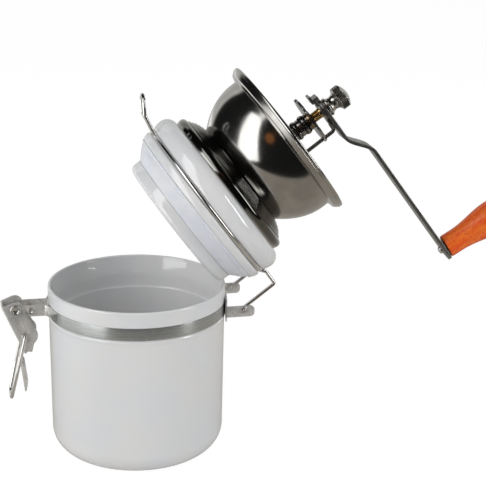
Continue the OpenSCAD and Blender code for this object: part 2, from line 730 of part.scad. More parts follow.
module knob_pin() {
    head_r = 2.3;
    head_z = -arm_t - 0.01 - head_r * sin(knob_lean);
    shoulder_z = 0.01 + pin_r * sin(knob_lean);
    cap_z = knob_z + knob_len - 5.8;
    color("silver") on_pin() rotate_extrude($fn = 48) polygon(concat(
        [[0, head_z - 1.7], [1.5, head_z - 1.7], [2.1, head_z - 1.3], [head_r, head_z - 0.7], [head_r, head_z],
         [pin_tail_r, head_z], [pin_tail_r, shoulder_z], [pin_r, shoulder_z], [pin_r, cap_z], [4.4, cap_z]],
        arc(0, cap_z - 2.7, 4.77, 34.5, 90, 6)));
}

module knob_washer() {
    color("dimgray") on_pin() ring(pin_r, knob_washer_r, knob_washer_z, knob_washer_t);
}

// The nut that locks the crank, with the spring washer under it

module spring_washer() {
    color("dimgray") on_lid() translate([0, 0, 0]) difference() {
        ring(stud_r + 0.1, 5.4, arm_top + 0.02, spring_t - 0.04);
        translate([2, -0.4, arm_top - 1]) cube([5, 0.8, 3]);
    }
}

module thumb_nut() {
    knurls = 40;
    z0 = nut_z;
    head_r = 6.9;
    deep = 0.35;
    color("dimgray") on_lid() difference() {
        rotate_extrude($fn = 80) polygon(concat(
            [[stud_r + run_gap, z0], [5.6, z0], [5.7, z0 + 0.9], [4.4, z0 + 2], [3.95, z0 + 3.6],
             [4.3, z0 + 5.4], [5.4, z0 + 6.4], [head_r - 0.5, z0 + 6.9], [head_r, z0 + 7.4],
             [head_r, z0 + 11.2], [head_r - 0.6, z0 + 11.8]],
            arc(0, z0 + 3.2, 10.6, 54.3, 90, 6),
            [[0, z0 + 12.6], [stud_r + run_gap, z0 + 12.6]]));
        for (i = [0 : knurls - 1]) rotate([0, 0, 360 / knurls * i])
            translate([head_r - deep, 0, z0 + 7]) rotate([0, 0, -45])
                cube([2 * deep, 2 * deep, 4.6]);
    }
}

module knob() {
    bore = pin_r + run_gap;
    neck_r = 7;
    top = knob_z + knob_len;
    color("chocolate") on_pin() rotate_extrude($fn = 96) polygon(concat(
        [[bore, knob_z], [neck_r - 0.7, knob_z], [neck_r - 0.1, knob_z + 0.6]],
        [for (i = [0 : 12]) let (t = i / 12)
            [neck_r + (knob_r - neck_r) * (t * t * (3 - 2 * t)), knob_z + 8 + (knob_len - 25) * t]],
        arc(knob_r - 7, top - 8, 7, 4, 66, 8),
        [[4.7, top - 2], [4.7, top - 6], [bore, top - 6]]));
}

canister();
neck_band();
band_screw();
hinge_bracket();
latch_bracket();
lever_rivet();
latch_lever();
latch_loop();
lid();
gasket();
lid_wire();
collar();
hopper_bowl();
hopper_bridge();
bearing_boss();
bearing_bush();
bridge_rivets();
burr_housing();
housing_nut();
outer_burr();
lower_bearing();
thrust_washer();
adjusting_disc();
shaft();
inner_burr();
burr_washer();
burr_screw();
burr_spring();
stopper_plate();
crank_arm();
knob_pin();
knob_washer();
spring_washer();
thumb_nut();
knob();
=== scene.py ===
"""Looks of the manual coffee grinder: a white glazed canister with a steel neck band and a wire
latch, and a lid, swung open, that carries a black chrome hopper, the crank and a wooden knob."""

import json
import math

import bmesh
import bpy
from mathutils import Matrix, Vector

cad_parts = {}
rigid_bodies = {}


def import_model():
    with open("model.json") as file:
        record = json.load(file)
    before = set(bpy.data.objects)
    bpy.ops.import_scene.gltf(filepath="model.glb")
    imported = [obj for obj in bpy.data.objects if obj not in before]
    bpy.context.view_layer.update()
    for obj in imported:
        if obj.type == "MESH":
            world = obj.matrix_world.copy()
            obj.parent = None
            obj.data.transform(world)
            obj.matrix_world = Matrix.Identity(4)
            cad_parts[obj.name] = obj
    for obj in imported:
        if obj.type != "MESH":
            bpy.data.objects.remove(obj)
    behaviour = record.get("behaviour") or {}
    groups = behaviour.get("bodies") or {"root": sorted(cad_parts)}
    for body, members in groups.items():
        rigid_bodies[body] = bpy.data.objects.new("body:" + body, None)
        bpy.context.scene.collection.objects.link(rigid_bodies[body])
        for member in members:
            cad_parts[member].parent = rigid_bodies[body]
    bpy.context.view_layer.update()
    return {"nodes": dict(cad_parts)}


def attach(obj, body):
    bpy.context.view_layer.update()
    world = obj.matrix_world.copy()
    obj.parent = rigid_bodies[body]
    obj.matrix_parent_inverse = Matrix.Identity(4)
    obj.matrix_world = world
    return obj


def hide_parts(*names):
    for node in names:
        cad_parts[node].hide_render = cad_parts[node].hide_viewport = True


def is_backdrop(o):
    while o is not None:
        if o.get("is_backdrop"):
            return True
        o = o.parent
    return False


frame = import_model()


MM = 0.001

# Real sizes in millimetres, the same as in the part's source
CAN_R, CAN_LOW_R, CAN_H = 50.0, 49.1, 98.0
FOOT_ROUND, FLOOR_T, INNER_R, LEDGE_Z = 12.8, 7.0, 45.2, 79.4
BAND_Z, BAND_H, BAND_T = 82.2, 7.0, 0.7
BAND_TOP = BAND_Z + BAND_H
GROOVE_FLOOR = CAN_R - BAND_T
PIVOT_X, PIVOT_Z, LID_OPEN = 57.9, 85.2, 53.0
LEVER_X, LEVER_Z, LEVER_LEAN, LEVER_W = 68.5, 87.7, 23.5, 13.0
LOOP_X, LOOP_Z, LOOP_LEAN, LOOP_R, LOOP_LEN = -1.6, -15.75, 12.9, 0.9, 39.0
EAR_Y = 19.9
WIRE_R, RING_R, ARM_Y, HOOK_Y, GROOVE_Z = 1.0, 49.3, 17.4, 4.5, 106.0
PLUG_R, PLUG_Z, LIP_Z, LID_TOP = 40.6, 83.5, 99.6, 119.3
BOWL_Z, FOOT_R, BOWL_R, RIM_R, RIM_Z = 130.2, 31.6, 42.6, 48.4, 165.0
BOSS_TOP = 178.3
DISC_Z, DISC_T, DISC_R, NOTCHES = 178.9, 1.4, 14.6, 8
STOPPER_Z, STOPPER_T, ROD_X, ROD_R = 186.8, 1.6, 13.5, 1.1
ARM_Z, ARM_T, ARM_W, ARM_RISE, CRANK_R = 188.4, 2.0, 13.0, 9.0, 114.5
# The crank's S-bend: how far from the shaft it starts, and how long it is
BEND_X, BEND_LEN = 19.0, 18.0
ARM_TOP = ARM_Z + ARM_T
NUT_Z = ARM_TOP + 1.0
FAR_TOP = ARM_Z + ARM_RISE + ARM_T
SHAFT_R, STUD_R, PIN_R = 3.1, 2.6, 2.5
# Along the knob's pin, from the top of the arm: the pin leans outward, and its washer clears the arm
KNOB_LEAN, WASHER_R, WASHER_T = 5.5, 4.4, 0.5
WASHER_Z = 0.01 + WASHER_R * math.sin(math.radians(KNOB_LEAN))
KNOB_Z, KNOB_LEN, KNOB_R = WASHER_Z + WASHER_T + 0.1, 50.0, 10.0
RIVET_R, RIVET_HEAD_H = 1.5, 1.0
SMALL_RIVET_X, SMALL_RIVET_Z = 60.4, 86.4

# Places: the lid's pieces are drawn upright and swung open, the lever's about its rivet
ON_TABLE = Matrix.Scale(MM, 4)
ON_LID = (
    ON_TABLE
    @ Matrix.Translation((PIVOT_X, 0, PIVOT_Z))
    @ Matrix.Rotation(math.radians(LID_OPEN), 4, "Y")
    @ Matrix.Translation((-PIVOT_X, 0, -PIVOT_Z))
)
ON_LEVER = (
    ON_TABLE
    @ Matrix.Translation((-LEVER_X, 0, LEVER_Z))
    @ Matrix.Rotation(math.radians(-LEVER_LEAN), 4, "Y")
)
ON_LOOP = (
    ON_LEVER
    @ Matrix.Translation((LOOP_X, 0, LOOP_Z))
    @ Matrix.Rotation(math.radians(LEVER_LEAN + LOOP_LEAN), 4, "Y")
)
AT_KNOB = (
    ON_LID
    @ Matrix.Translation((CRANK_R, 0, FAR_TOP))
    @ Matrix.Rotation(math.radians(KNOB_LEAN), 4, "Y")
)
# A side view (x, z) drawn as (x, y) is stood up by this turn: its own z then runs along -Y
UPRIGHT = Matrix.Rotation(math.radians(90), 4, "X")


# Shapes

def arc(cx, cy, r, a, b, n=8):
    """Points on an arc from angle a to angle b, in degrees."""
    steps = [math.radians(a + (b - a) * i / n) for i in range(n + 1)]
    return [(cx + r * math.cos(t), cy + r * math.sin(t)) for t in steps]


def circle(cx, cy, r, n):
    """Points all round a circle, the first one not repeated."""
    return arc(cx, cy, r, 0, 360, n)[:-1]


def ease(t):
    """A smooth step from 0 to 1."""
    t = max(0.0, min(1.0, t))
    return t * t * (3 - 2 * t)


def new_object(name, data):
    """A new object, linked into the scene."""
    obj = bpy.data.objects.new(name, data)
    bpy.context.scene.collection.objects.link(obj)
    return obj


def piece(name, mesh, place, body, nodes, sharp=32):
    """One piece from its mesh: placed, shaded, riding on its body and standing for its nodes."""
    mesh.polygons.foreach_set("use_smooth", [True] * len(mesh.polygons))
    mesh.set_sharp_from_angle(angle=math.radians(sharp))
    obj = new_object(name, mesh)
    obj.matrix_world = place
    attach(obj, body)
    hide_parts(*nodes)
    return obj


def mesh_from(name, verts, faces):
    """A mesh with doubled points merged and its faces turned outward."""
    mesh = bpy.data.meshes.new(name)
    mesh.from_pydata(verts, [], faces)
    mesh.validate()
    bm = bmesh.new()
    bm.from_mesh(mesh)
    bmesh.ops.remove_doubles(bm, verts=bm.verts, dist=1e-5)
    bmesh.ops.recalc_face_normals(bm, faces=bm.faces)
    bm.to_mesh(mesh)
    bm.free()
    return mesh


def mesh_of(name, bm):
    """A new mesh from bm, which is freed."""
    mesh = bpy.data.meshes.new(name)
    bm.to_mesh(mesh)
    bm.free()
    return mesh


def lathe_mesh(name, profile, around=192, shape=None):
    """Turns a closed profile of (radius, height) about the upright axis. shape can move each point."""
    verts, faces = [], []
    for i in range(around):
        t = 2 * math.pi * i / around
        for r, z in profile:
            if shape:
                r, z = shape(r, z, t)
            verts.append((r * math.cos(t), r * math.sin(t), z))
    n = len(profile)
    for i in range(around):
        for j in range(n):
            a, b = i * n + j, i * n + (j + 1) % n
            c, d = (i + 1) % around * n + (j + 1) % n, (i + 1) % around * n + j
            faces.append((a, d, c, b))
    return mesh_from(name, verts, faces)


def skin_mesh(name, rings):
    """A skin over a row of rings with the same number of points each, closed at both ends."""
    n = len(rings[0])
    faces = []
    for i in range(len(rings) - 1):
        for j in range(n):
            k = (j + 1) % n
            faces.append((i * n + j, i * n + k, (i + 1) * n + k, (i + 1) * n + j))
    faces += [tuple(range(n)), tuple((len(rings) - 1) * n + j for j in range(n))]
    return mesh_from(name, [tuple(p) for ring in rings for p in ring], faces)


def refine(profile, longest=3.0):
    """Splits long straight spans of a profile, so that its shading stays even."""
    out = []
    for (r0, z0), (r1, z1) in zip(profile, profile[1:] + profile[:1]):
        n = max(1, math.ceil(math.hypot(r1 - r0, z1 - z0) / longest))
        out += [(r0 + (r1 - r0) * k / n, z0 + (z1 - z0) * k / n) for k in range(n)]
    return out


def soften(profile, r, closed=True):
    """Rounds every corner of a profile by about r, with four short spans."""
    out, n = [], len(profile)
    for i, p in enumerate(profile):
        if not closed and i in (0, n - 1):
            out.append(p)
            continue
        a, b = Vector(profile[i - 1]), Vector(profile[(i + 1) % n])
        q = Vector(p)
        da, db = a - q, b - q
        k = min(r, 0.45 * da.length, 0.45 * db.length)
        if da.length < 1e-6 or db.length < 1e-6 or da.angle(db) > math.radians(165):
            out.append(p)
            continue
        s, e = q + da.normalized() * k, q + db.normalized() * k
        for j in range(5):
            t = j / 4
            m = s * (1 - t) ** 2 + q * 2 * t * (1 - t) + e * t * t
            out.append((m.x, m.y))
    return out


def turned(name, profile, place, body, nodes, around=192, round_by=0.0, sharp=32):
    """A turned piece, its corners rounded where round_by is given."""
    if round_by:
        profile = soften(profile, round_by)
    piece(name, lathe_mesh(name, refine(profile), around), place, body, nodes, sharp)


def bent_path(points, radii, steps=8):
    """A path through the points with each inner corner rounded by its radius."""
    path = [Vector(points[0])]
    for p, q, s, r in zip(points, points[1:], points[2:], radii):
        p, q, s = Vector(p), Vector(q), Vector(s)
        da, db = (p - q).normalized(), (s - q).normalized()
        half = da.angle(db) / 2
        k = min(r / math.tan(half), 0.49 * (p - q).length, 0.49 * (s - q).length)
        a, b = q + da * k, q + db * k
        for j in range(steps + 1):
            t = j / steps
            path.append(a * (1 - t) ** 2 + q * 2 * t * (1 - t) + b * t * t)
    path.append(Vector(points[-1]))
    return path


def tube_mesh(name, path, r, sides=20):
    """A round wire along a path, with domed ends."""
    first, last = (path[0] - path[1]).normalized(), (path[-1] - path[-2]).normalized()
    # How far each ring of a dome stands out, and how wide it is, as shares of r
    dome = [(0.5, 0.87), (0.85, 0.53)]
    scale = [w for _, w in reversed(dome)] + [1.0] * len(path) + [w for _, w in dome]
    path = (
        [path[0] + first * r * out for out, _ in reversed(dome)]
        + list(path)
        + [path[-1] + last * r * out for out, _ in dome]
    )
    rings = []
    side = Vector((0, 0, 1))
    for i, p in enumerate(path):
        before = path[i - 1] if i else p
        after = path[i + 1] if i < len(path) - 1 else p
        along = (after - before).normalized()
        side = side - along * side.dot(along)
        if side.length < 0.1:
            side = along.orthogonal()
        side.normalize()
        other = along.cross(side)
        turns = [2 * math.pi * k / sides for k in range(sides)]
        rings.append([p + (side * math.cos(t) + other * math.sin(t)) * r * scale[i] for t in turns])
    return skin_mesh(name, rings)


def fill(bm, outline, holes, to3d):
    """A flat filled face in bm: outline and holes in the plane, to3d places each point."""
    edges = []
    for ring in [outline] + list(holes):
        vs = [bm.verts.new(to3d(x, y)) for x, y in ring]
        edges += [bm.edges.new((a, b)) for a, b in zip(vs, vs[1:] + vs[:1])]
    bmesh.ops.triangle_fill(bm, use_beauty=True, use_dissolve=False, edges=edges)


def plate_mesh(name, outline, holes, low, high, round_by, turn=None):
    """A flat pressed plate: an outline with holes, from low to high, its edges broken. turn places it."""
    bm = bmesh.new()
    fill(bm, outline, holes, lambda x, y: (x, y, low))
    bmesh.ops.recalc_face_normals(bm, faces=bm.faces)
    made = bmesh.ops.extrude_face_region(bm, geom=list(bm.faces))
    bmesh.ops.translate(
        bm, vec=(0, 0, high - low), verts=[v for v in made["geom"] if isinstance(v, bmesh.types.BMVert)]
    )
    bmesh.ops.recalc_face_normals(bm, faces=bm.faces)
    rims = [e for e in bm.edges if len(e.link_faces) == 2 and e.calc_face_angle(0) > math.radians(60)]
    rims = [e for e in rims if abs(e.verts[0].co.z - e.verts[1].co.z) < 1e-6]
    bmesh.ops.bevel(bm, geom=rims, offset=round_by, segments=2, profile=0.6, affect="EDGES",
                    clamp_overlap=True)
    if turn:
        bmesh.ops.transform(bm, matrix=turn, verts=bm.verts)
    return mesh_of(name, bm)


def joined(name, meshes):
    """Several meshes as one."""
    bm = bmesh.new()
    for mesh in meshes:
        bm.from_mesh(mesh)
    return mesh_of(name, bm)


def moved(mesh, matrix):
    """The mesh itself, moved or turned."""
    mesh.transform(matrix)
    return mesh


def canister():
    """The jar. Under the mouth its inner wall flares a little more than the solid's, so that the
    glaze there mirrors the softbox."""
    profile = (
        [(0.01, 0), (20, 0), (34, 0)]
        + arc(CAN_LOW_R - FOOT_ROUND, FOOT_ROUND, FOOT_ROUND, -90, 0, 24)
        + [(CAN_R - 0.35, BAND_Z - 4.2)]
        + arc(CAN_R - 1.4, BAND_Z - 1.6, 1.4, -25, 60, 10)
        + [(GROOVE_FLOOR, BAND_Z), (GROOVE_FLOOR, BAND_TOP), (CAN_R - 0.25, BAND_TOP),
           (CAN_R, BAND_TOP + 0.25)]
        + arc(CAN_R - 0.9, CAN_H - 0.9, 0.9, 0, 180, 20)
        + [(47.35, CAN_H - 4), (46.6, CAN_H - 7.3), (46.1, CAN_H - 9.6), (46.0, CAN_H - 11),
           (46.0, LEDGE_Z + 0.8), (45.9, LEDGE_Z + 0.2), (45.6, LEDGE_Z - 0.2), (INNER_R, LEDGE_Z - 0.6)]
        + arc(INNER_R - 9, FLOOR_T + 9, 9, 0, -90, 16)
        + [(0.01, FLOOR_T)]
    )
    turned("canister_glazed", profile, ON_TABLE, "canister_body", ["canister"], around=224, sharp=40)


def neck_band():
    """The flat band in the neck's groove, flush with the glaze."""
    z0, z1, edge = BAND_Z, BAND_TOP, 0.12
    profile = soften([(GROOVE_FLOOR, z0), (CAN_R, z0), (CAN_R, z1), (GROOVE_FLOOR, z1)], edge)
    turned("neck_band_brushed", profile, ON_TABLE, "canister_body", ["neck_band"], around=224, sharp=40)


def wing_mesh(name, half, flat, low, tip_low, high, r, t):
    """A thin plate on the neck's latch side, whose lower edge rises from its flat middle to its tips."""
    rings, across = [], 40
    for i in range(across + 1):
        y = half * (2 * i / across - 1)
        z0 = low + (tip_low - low) * max(0.0, (abs(y) - flat) / (half - flat))
        section = soften([(r, z0), (r + t, z0), (r + t, high), (r, high)], 0.12)
        rings.append([(-math.sqrt(q * q - y * y), y, z) for q, z in section])
    return skin_mesh(name, rings)


def back_line(out):
    """The hinge plate seen from above: round the neck for ten degrees each way, then straight to the ears."""
    turn = math.radians(10)
    r = CAN_R + out
    reach = (EAR_Y - r * math.sin(turn)) / math.cos(turn)
    x = r * math.cos(turn) - reach * math.sin(turn)
    return [(x, -EAR_Y)] + arc(0, 0, r, -10, 10, 12) + [(x, EAR_Y)]


def hinge_bracket():
    """A back plate against the neck, and two bored ears that hold the ends of the lid's wire."""
    low, high, root, end, nose, ear_t = 80.8, 87.2, 47.5, 64.0, 2.4, 1.0
    back_low, back_high, back_t = 78.5, 91.6, 0.9
    outline = (
        [(root, low)]
        + arc(end - nose, low + nose, nose, -90, 0, 8)
        + arc(end - nose, high - nose, nose, 0, 90, 8)
        + [(root, high)]
    )
    hole = circle(PIVOT_X, PIVOT_Z, WIRE_R + 0.05, 24)
    back = back_line(0.0) + back_line(back_t)[::-1]
    parts = [plate_mesh("back", back, [], back_low, back_high, 0.18)]
    for y in (-EAR_Y + ear_t, EAR_Y):
        stand = Matrix.Translation((0, y, 0)) @ UPRIGHT
        parts.append(plate_mesh("ear", outline, [hole], 0, ear_t, 0.2, stand))
    piece("hinge_bracket_pressed", joined("hinge_bracket", parts), ON_TABLE, "canister_body",
          ["hinge_bracket"])


def latch_bracket():
    """Two wings along the neck, and two ears that hold the lever's rivet."""
    low, high, root, nose, out, t = 83.0, 89.6, 49.0, 5.0, 5.4, 0.8
    up, down = (math.degrees(math.asin(d / nose)) for d in (high - LEVER_Z, LEVER_Z - low))
    outline = arc(-LEVER_X, LEVER_Z, nose, 180 - up, 180 + down, 28) + [(-root, low), (-root, high)]
    holes = [circle(-LEVER_X, LEVER_Z, RIVET_R, 24), circle(-SMALL_RIVET_X, SMALL_RIVET_Z, 1.1, 20)]
    parts = [wing_mesh("wings", 18.8, out, low, 88.6, BAND_TOP, CAN_R, t)]
    for y in (-out + t, out):
        stand = Matrix.Translation((0, y, 0)) @ UPRIGHT
        parts.append(plate_mesh("ear", outline, holes, 0, t, 0.18, stand))
    for s in (-1, 1):
        # Each ear turns into its wing by a bend, and is stiffened by a pressed rib
        bend = [(-52.8, s * (out - 0.2)), (-51.7, s * 5.8), (-51, s * 6.8), (-50.2, s * 8.4),
                (-49.4, s * 8.2), (-49.4, s * (out - 0.3))]
        parts.append(plate_mesh("bend", bend[:: -s], [], low, BAND_TOP, 0.15))
        rib = [Vector((x, s * out, 87.6)) for x in (-58.2, -55, -52.2)]
        parts.append(tube_mesh("rib", rib, 0.4, 12))
    piece("latch_bracket_pressed", joined("latch_bracket", parts), ON_TABLE, "canister_body",
          ["latch_bracket"])


def rolled(r, h, hollow, z0):
    """Profile of a tubular rivet's rolled head: a round rim about a hollow of this depth."""
    lip = r * 0.22
    return (
        [(r, z0), (r, z0 + 0.3 * h)]
        + arc(r - lip, z0 + h - lip, lip, 0, 120, 8)
        + [(r * 0.55, z0 + h - hollow + 0.1), (r * 0.48, z0 + h - hollow), (0.01, z0 + h - hollow)]
    )


def cross_pin_mesh(name, r, half, top):
    """A pin along Y with the same head at each end, top being the head's profile."""
    down = [(q, -z) for q, z in reversed(top)]
    mesh = lathe_mesh(name, refine(down + [(r, -half), (r, half)] + top), 48)
    return moved(mesh, UPRIGHT)


def neck_rivets():
    """The small rivet that closes the band, and the large one that the lever turns on."""
    mesh = cross_pin_mesh("band_screw", 1.1, 5.4, rolled(1.8, 0.8, 0.35, 5.4))
    piece("band_screw_rolled", mesh, ON_TABLE @ Matrix.Translation((-SMALL_RIVET_X, 0, SMALL_RIVET_Z)),
          "canister_body", ["band_screw"])
    seat = LEVER_W / 2 + 0.1
    mesh = cross_pin_mesh("lever_rivet", RIVET_R, seat, rolled(3.0, RIVET_HEAD_H, 0.7, seat))
    piece("lever_rivet_rolled", mesh, ON_TABLE @ Matrix.Translation((-LEVER_X, 0, LEVER_Z)),
          "canister_body", ["lever_rivet"])


def latch_lever():
    """Bent from one sheet: a back plate, two cheeks with bored lobes, and a tongue."""
    back, foot, head, sheet_t, bend = -6.5, -25.9, 4.4, 0.8, 1.0
    half = LEVER_W / 2
    cheek = (
        [(back + bend, foot), (back + bend, head)]
        + arc(0.3, -0.1, 4.3, 90, -20, 20)
        + [(3.95, -5.9)]
        + arc(-0.8, -16.7, 6, 26, -75, 14)
        + [(-2.4, -26.7), (-4.4, -25.3)]
    )
    holes = [circle(0, 0, 1.55, 24), circle(LOOP_X, LOOP_Z, 0.95, 24)]
    bm = bmesh.new()
    for s in (-1, 1):
        fill(bm, cheek, holes, lambda x, z: (x, s * half, z))
        rows = arc(back + bend, half - bend, bend, 90, 180, 6)
        low = [bm.verts.new((x, s * y, foot)) for x, y in rows]
        high = [bm.verts.new((x, s * y, head)) for x, y in rows]
        for j in range(len(rows) - 1):
            bm.faces.new((low[j], low[j + 1], high[j + 1], high[j]))
    flat, neck, tip, step_z, dish = half - bend, 5.0, 6.0, -23.9, 2.2
    cross = [k / 6 - 1 for k in range(13)]
    plate = (
        [(-flat, head), (-flat, foot), (-neck, foot)]
        + [(neck * c, step_z) for c in cross]
        + [(neck, foot), (flat, foot), (flat, head)]
    )
    fill(bm, plate, [], lambda y, z: (back, y, z))
    # The foot steps outward, and the tongue, its sides curled in like a spoon, hangs from the step
    lean, tongue_len = math.radians(16.5), 22.6
    corner = Vector((-10.4, 0, -27.1))
    end = corner - Vector((math.sin(lean), 0, math.cos(lean))) * tongue_len
    path = bent_path([(back, 0, step_z), (back, 0, step_z - 0.5), corner, end], [0.8, 1.6], 5)
    path = path[:-1] + [path[-2].lerp(end, k / 24) for k in range(1, 25)]
    last = None
    for p in path:
        d = (p - end).length
        # Half its width: round at the tip, and narrower where it leaves the step
        if d < tip:
            w = math.sqrt(max(0.01, tip * tip - (tip - d) ** 2))
        else:
            w = tip - (tip - neck) * ease((d - 17.5) / 2.5)
        curl = dish * ease((corner.z - p.z) / 6) * ease(d / 9)
        row = [bm.verts.new((p.x + curl * (w * c / tip) ** 2, w * c, p.z)) for c in cross]
        if last:
            for j in range(len(cross) - 1):
                bm.faces.new((last[j], last[j + 1], row[j + 1], row[j]))
        last = row
    bmesh.ops.remove_doubles(bm, verts=bm.verts, dist=1e-4)
    bmesh.ops.recalc_face_normals(bm, faces=bm.faces)
    outer = max(bm.faces, key=lambda f: f.calc_center_median().y)
    if outer.normal.y < 0:
        bmesh.ops.reverse_faces(bm, faces=bm.faces)
    mesh = mesh_of("latch_lever", bm)
    obj = piece("latch_lever_pressed", mesh, ON_LEVER, "latch_lever", ["latch_lever"])
    thick = obj.modifiers.new("sheet", "SOLIDIFY")
    thick.thickness = sheet_t
    thick.offset = -1
    thick.use_even_offset = True
    edge = obj.modifiers.new("edge", "BEVEL")
    edge.width = 0.12
    edge.segments = 2
    edge.limit_method = "ANGLE"
    edge.angle_limit = math.radians(50)


def latch_loop():
    """A wire loop whose two ends turn into the lever's cheeks."""
    side = LEVER_W / 2 + RIVET_HEAD_H + 0.2 + LOOP_R
    inner, end, taper = 4.8, 6.7, -22
    points = [(0, -inner, 0), (0, -side, 0), (0, -side, taper), (0, -end, -LOOP_LEN), (0, end, -LOOP_LEN),
              (0, side, taper), (0, side, 0), (0, inner, 0)]
    path = bent_path(points, [1.3, 6, 4.6, 4.6, 6, 1.3], 10)
    mesh = tube_mesh("latch_loop", path, LOOP_R)
    piece("latch_loop_wire", mesh, ON_LOOP, "latch_loop", ["latch_loop"], 60)


def lid():
    """The lid: a hollow plug, a lip, a groove for the wire and a rounded shoulder."""
    cavity_r, cavity_top, housing_r = 35.5, 112.8, 22.5
    bulge, groove = 6.7, WIRE_R + 0.25
    profile = (
        [(cavity_r, PLUG_Z + 1.2)]
        + arc(cavity_r + 1.2, PLUG_Z + 1.2, 1.2, 180, 270, 6)
        + arc(PLUG_R - 3.2, PLUG_Z + 3.2, 3.2, -90, 0, 12)
        + [(PLUG_R, 90.4), (40, 90.6), (40, LIP_Z), (46, LIP_Z)]
        + arc(48.2, LIP_Z + 1.2, 1.2, -90, -20, 8)
        + [(49.9, LIP_Z + 2.2), (50.1, GROOVE_Z - 2.9), (49.95, GROOVE_Z - 2.1), (49.55, GROOVE_Z - 1.55)]
        + arc(RING_R, GROOVE_Z, groove, -102, -258, 16)
        + [(49.5, GROOVE_Z + 1.5), (49.95, GROOVE_Z + 2.1), (50.4, GROOVE_Z + 3.2), (50.75, GROOVE_Z + 4.9)]
        + arc(LID_TOP - 75.1, LID_TOP - bulge, bulge, 0, 90, 24)
        + [(housing_r, LID_TOP), (housing_r, cavity_top)]
        + arc(cavity_r - 4, cavity_top - 4, 4, 90, 0, 10)
    )
    turned("lid_glazed", profile, ON_LID, "grinder_head", ["lid"], around=224, sharp=40)


def gasket():
    """The seal round the plug, its flange sloping up to the lip."""
    profile = [(40, 90.6), (40.7, 90.6), (42.3, 92.4), (44.4, 94.2), (45.7, 95.6), (46.7, 96.9),
               (47.5, 98.1), (48.5, 98.6), (49, 99.1), (48.7, LIP_Z), (40, LIP_Z)]
    turned("gasket_silicone", profile, ON_LID, "grinder_head", ["gasket"], around=192, round_by=0.7, sharp=50)


def lid_wire():
    """One wire: from the hinge's ears up two arms, round the lid's groove, and out into a hook."""
    exit_a = math.degrees(math.asin(ARM_Y / RING_R))
    hook_a = math.degrees(math.asin(HOOK_Y / RING_R))
    tip_a, straight = math.radians(34), 6.0
    ring = [(x, y, GROOVE_Z) for x, y in arc(0, 0, RING_R, exit_a + 2, 180 - hook_a - 1.5, 72)]
    elbow = Vector((-62, HOOK_Y, 108.4))
    turn = elbow + straight * Vector((-math.cos(tip_a), 0, math.sin(tip_a)))
    nose = []
    for i in range(1, 9):
        g = math.pi * i / 16
        reach = HOOK_Y * math.sin(g)
        nose.append(turn + Vector((-math.cos(tip_a) * reach, HOOK_Y * (math.cos(g) - 1),
                                   math.sin(tip_a) * reach)))
    pivot = [(PIVOT_X, EAR_Y + 0.9, PIVOT_Z), (PIVOT_X, ARM_Y, PIVOT_Z), (57.8, ARM_Y, 107.8),
             (48.7, ARM_Y, 108.1), (RING_R * math.cos(math.radians(exit_a)), ARM_Y, GROOVE_Z)]
    start = bent_path(pivot + [ring[0]], [1.4, 1.6, 1.6, 1.0], 8)
    into = bent_path([ring[-1], (-RING_R * math.cos(math.radians(hook_a)), HOOK_Y, GROOVE_Z), elbow, turn],
                     [1.0, 1.6], 6)
    half = start + [Vector(p) for p in ring[1:-1]] + into + nose
    other = [Vector((p.x, -p.y, p.z)) for p in reversed(half)]
    # The ends are peened over outside the hinge's ears
    heads = cross_pin_mesh("peened_ends", WIRE_R, EAR_Y + 0.02, rolled(1.75, 0.9, 0.55, EAR_Y + 0.02))
    moved(heads, Matrix.Translation((PIVOT_X, 0, PIVOT_Z)))
    bm = bmesh.new()
    bm.from_mesh(heads)
    middle = [f for f in bm.faces if abs(f.calc_center_median().y) < EAR_Y - 0.1]
    bmesh.ops.delete(bm, geom=middle, context="FACES")
    bm.to_mesh(heads)
    bm.free()
    wire = tube_mesh("wire", half + other[1:], WIRE_R)
    piece("lid_wire_round", joined("lid_wire", [wire, heads]), ON_LID, "grinder_head", ["lid_wire"], 60)


def collar():
    """The shoulder under the hopper, rising in turned steps."""
    steps = [(41.2, 125.1), (41.2, 125.6), (39.6, 126.2), (39.6, 126.7), (38.2, 127.2), (38.2, 127.8),
             (36.4, 128.2), (36.4, 128.7), (34.2, 129.1), (34.2, 129.5), (32.2, 129.8), (31.8, BOWL_Z)]
    profile = (
        [(43.2, LID_TOP), (44.1, LID_TOP)]
        + arc(41.9, LID_TOP + 2.7, 2.7, -20, 75, 16)
        + soften(steps, 0.22, closed=False)
        + [(18.5, BOWL_Z), (18.5, BOWL_Z - 1.2), (30.5, BOWL_Z - 1.8), (37.4, 126.2), (40.6, 124.2),
           (43.2, 121.6)]
    )
    turned("collar_black_chrome", profile, ON_LID, "grinder_head", ["collar"], around=256, sharp=40)


def bowl_out(z):
    """The bowl's outer radius at a height: it draws in from its belly down to its foot."""
    belly_z, power = 156.5, 2.1
    return BOWL_R - (BOWL_R - FOOT_R) * (max(0, belly_z - z) / (belly_z - BOWL_Z)) ** power


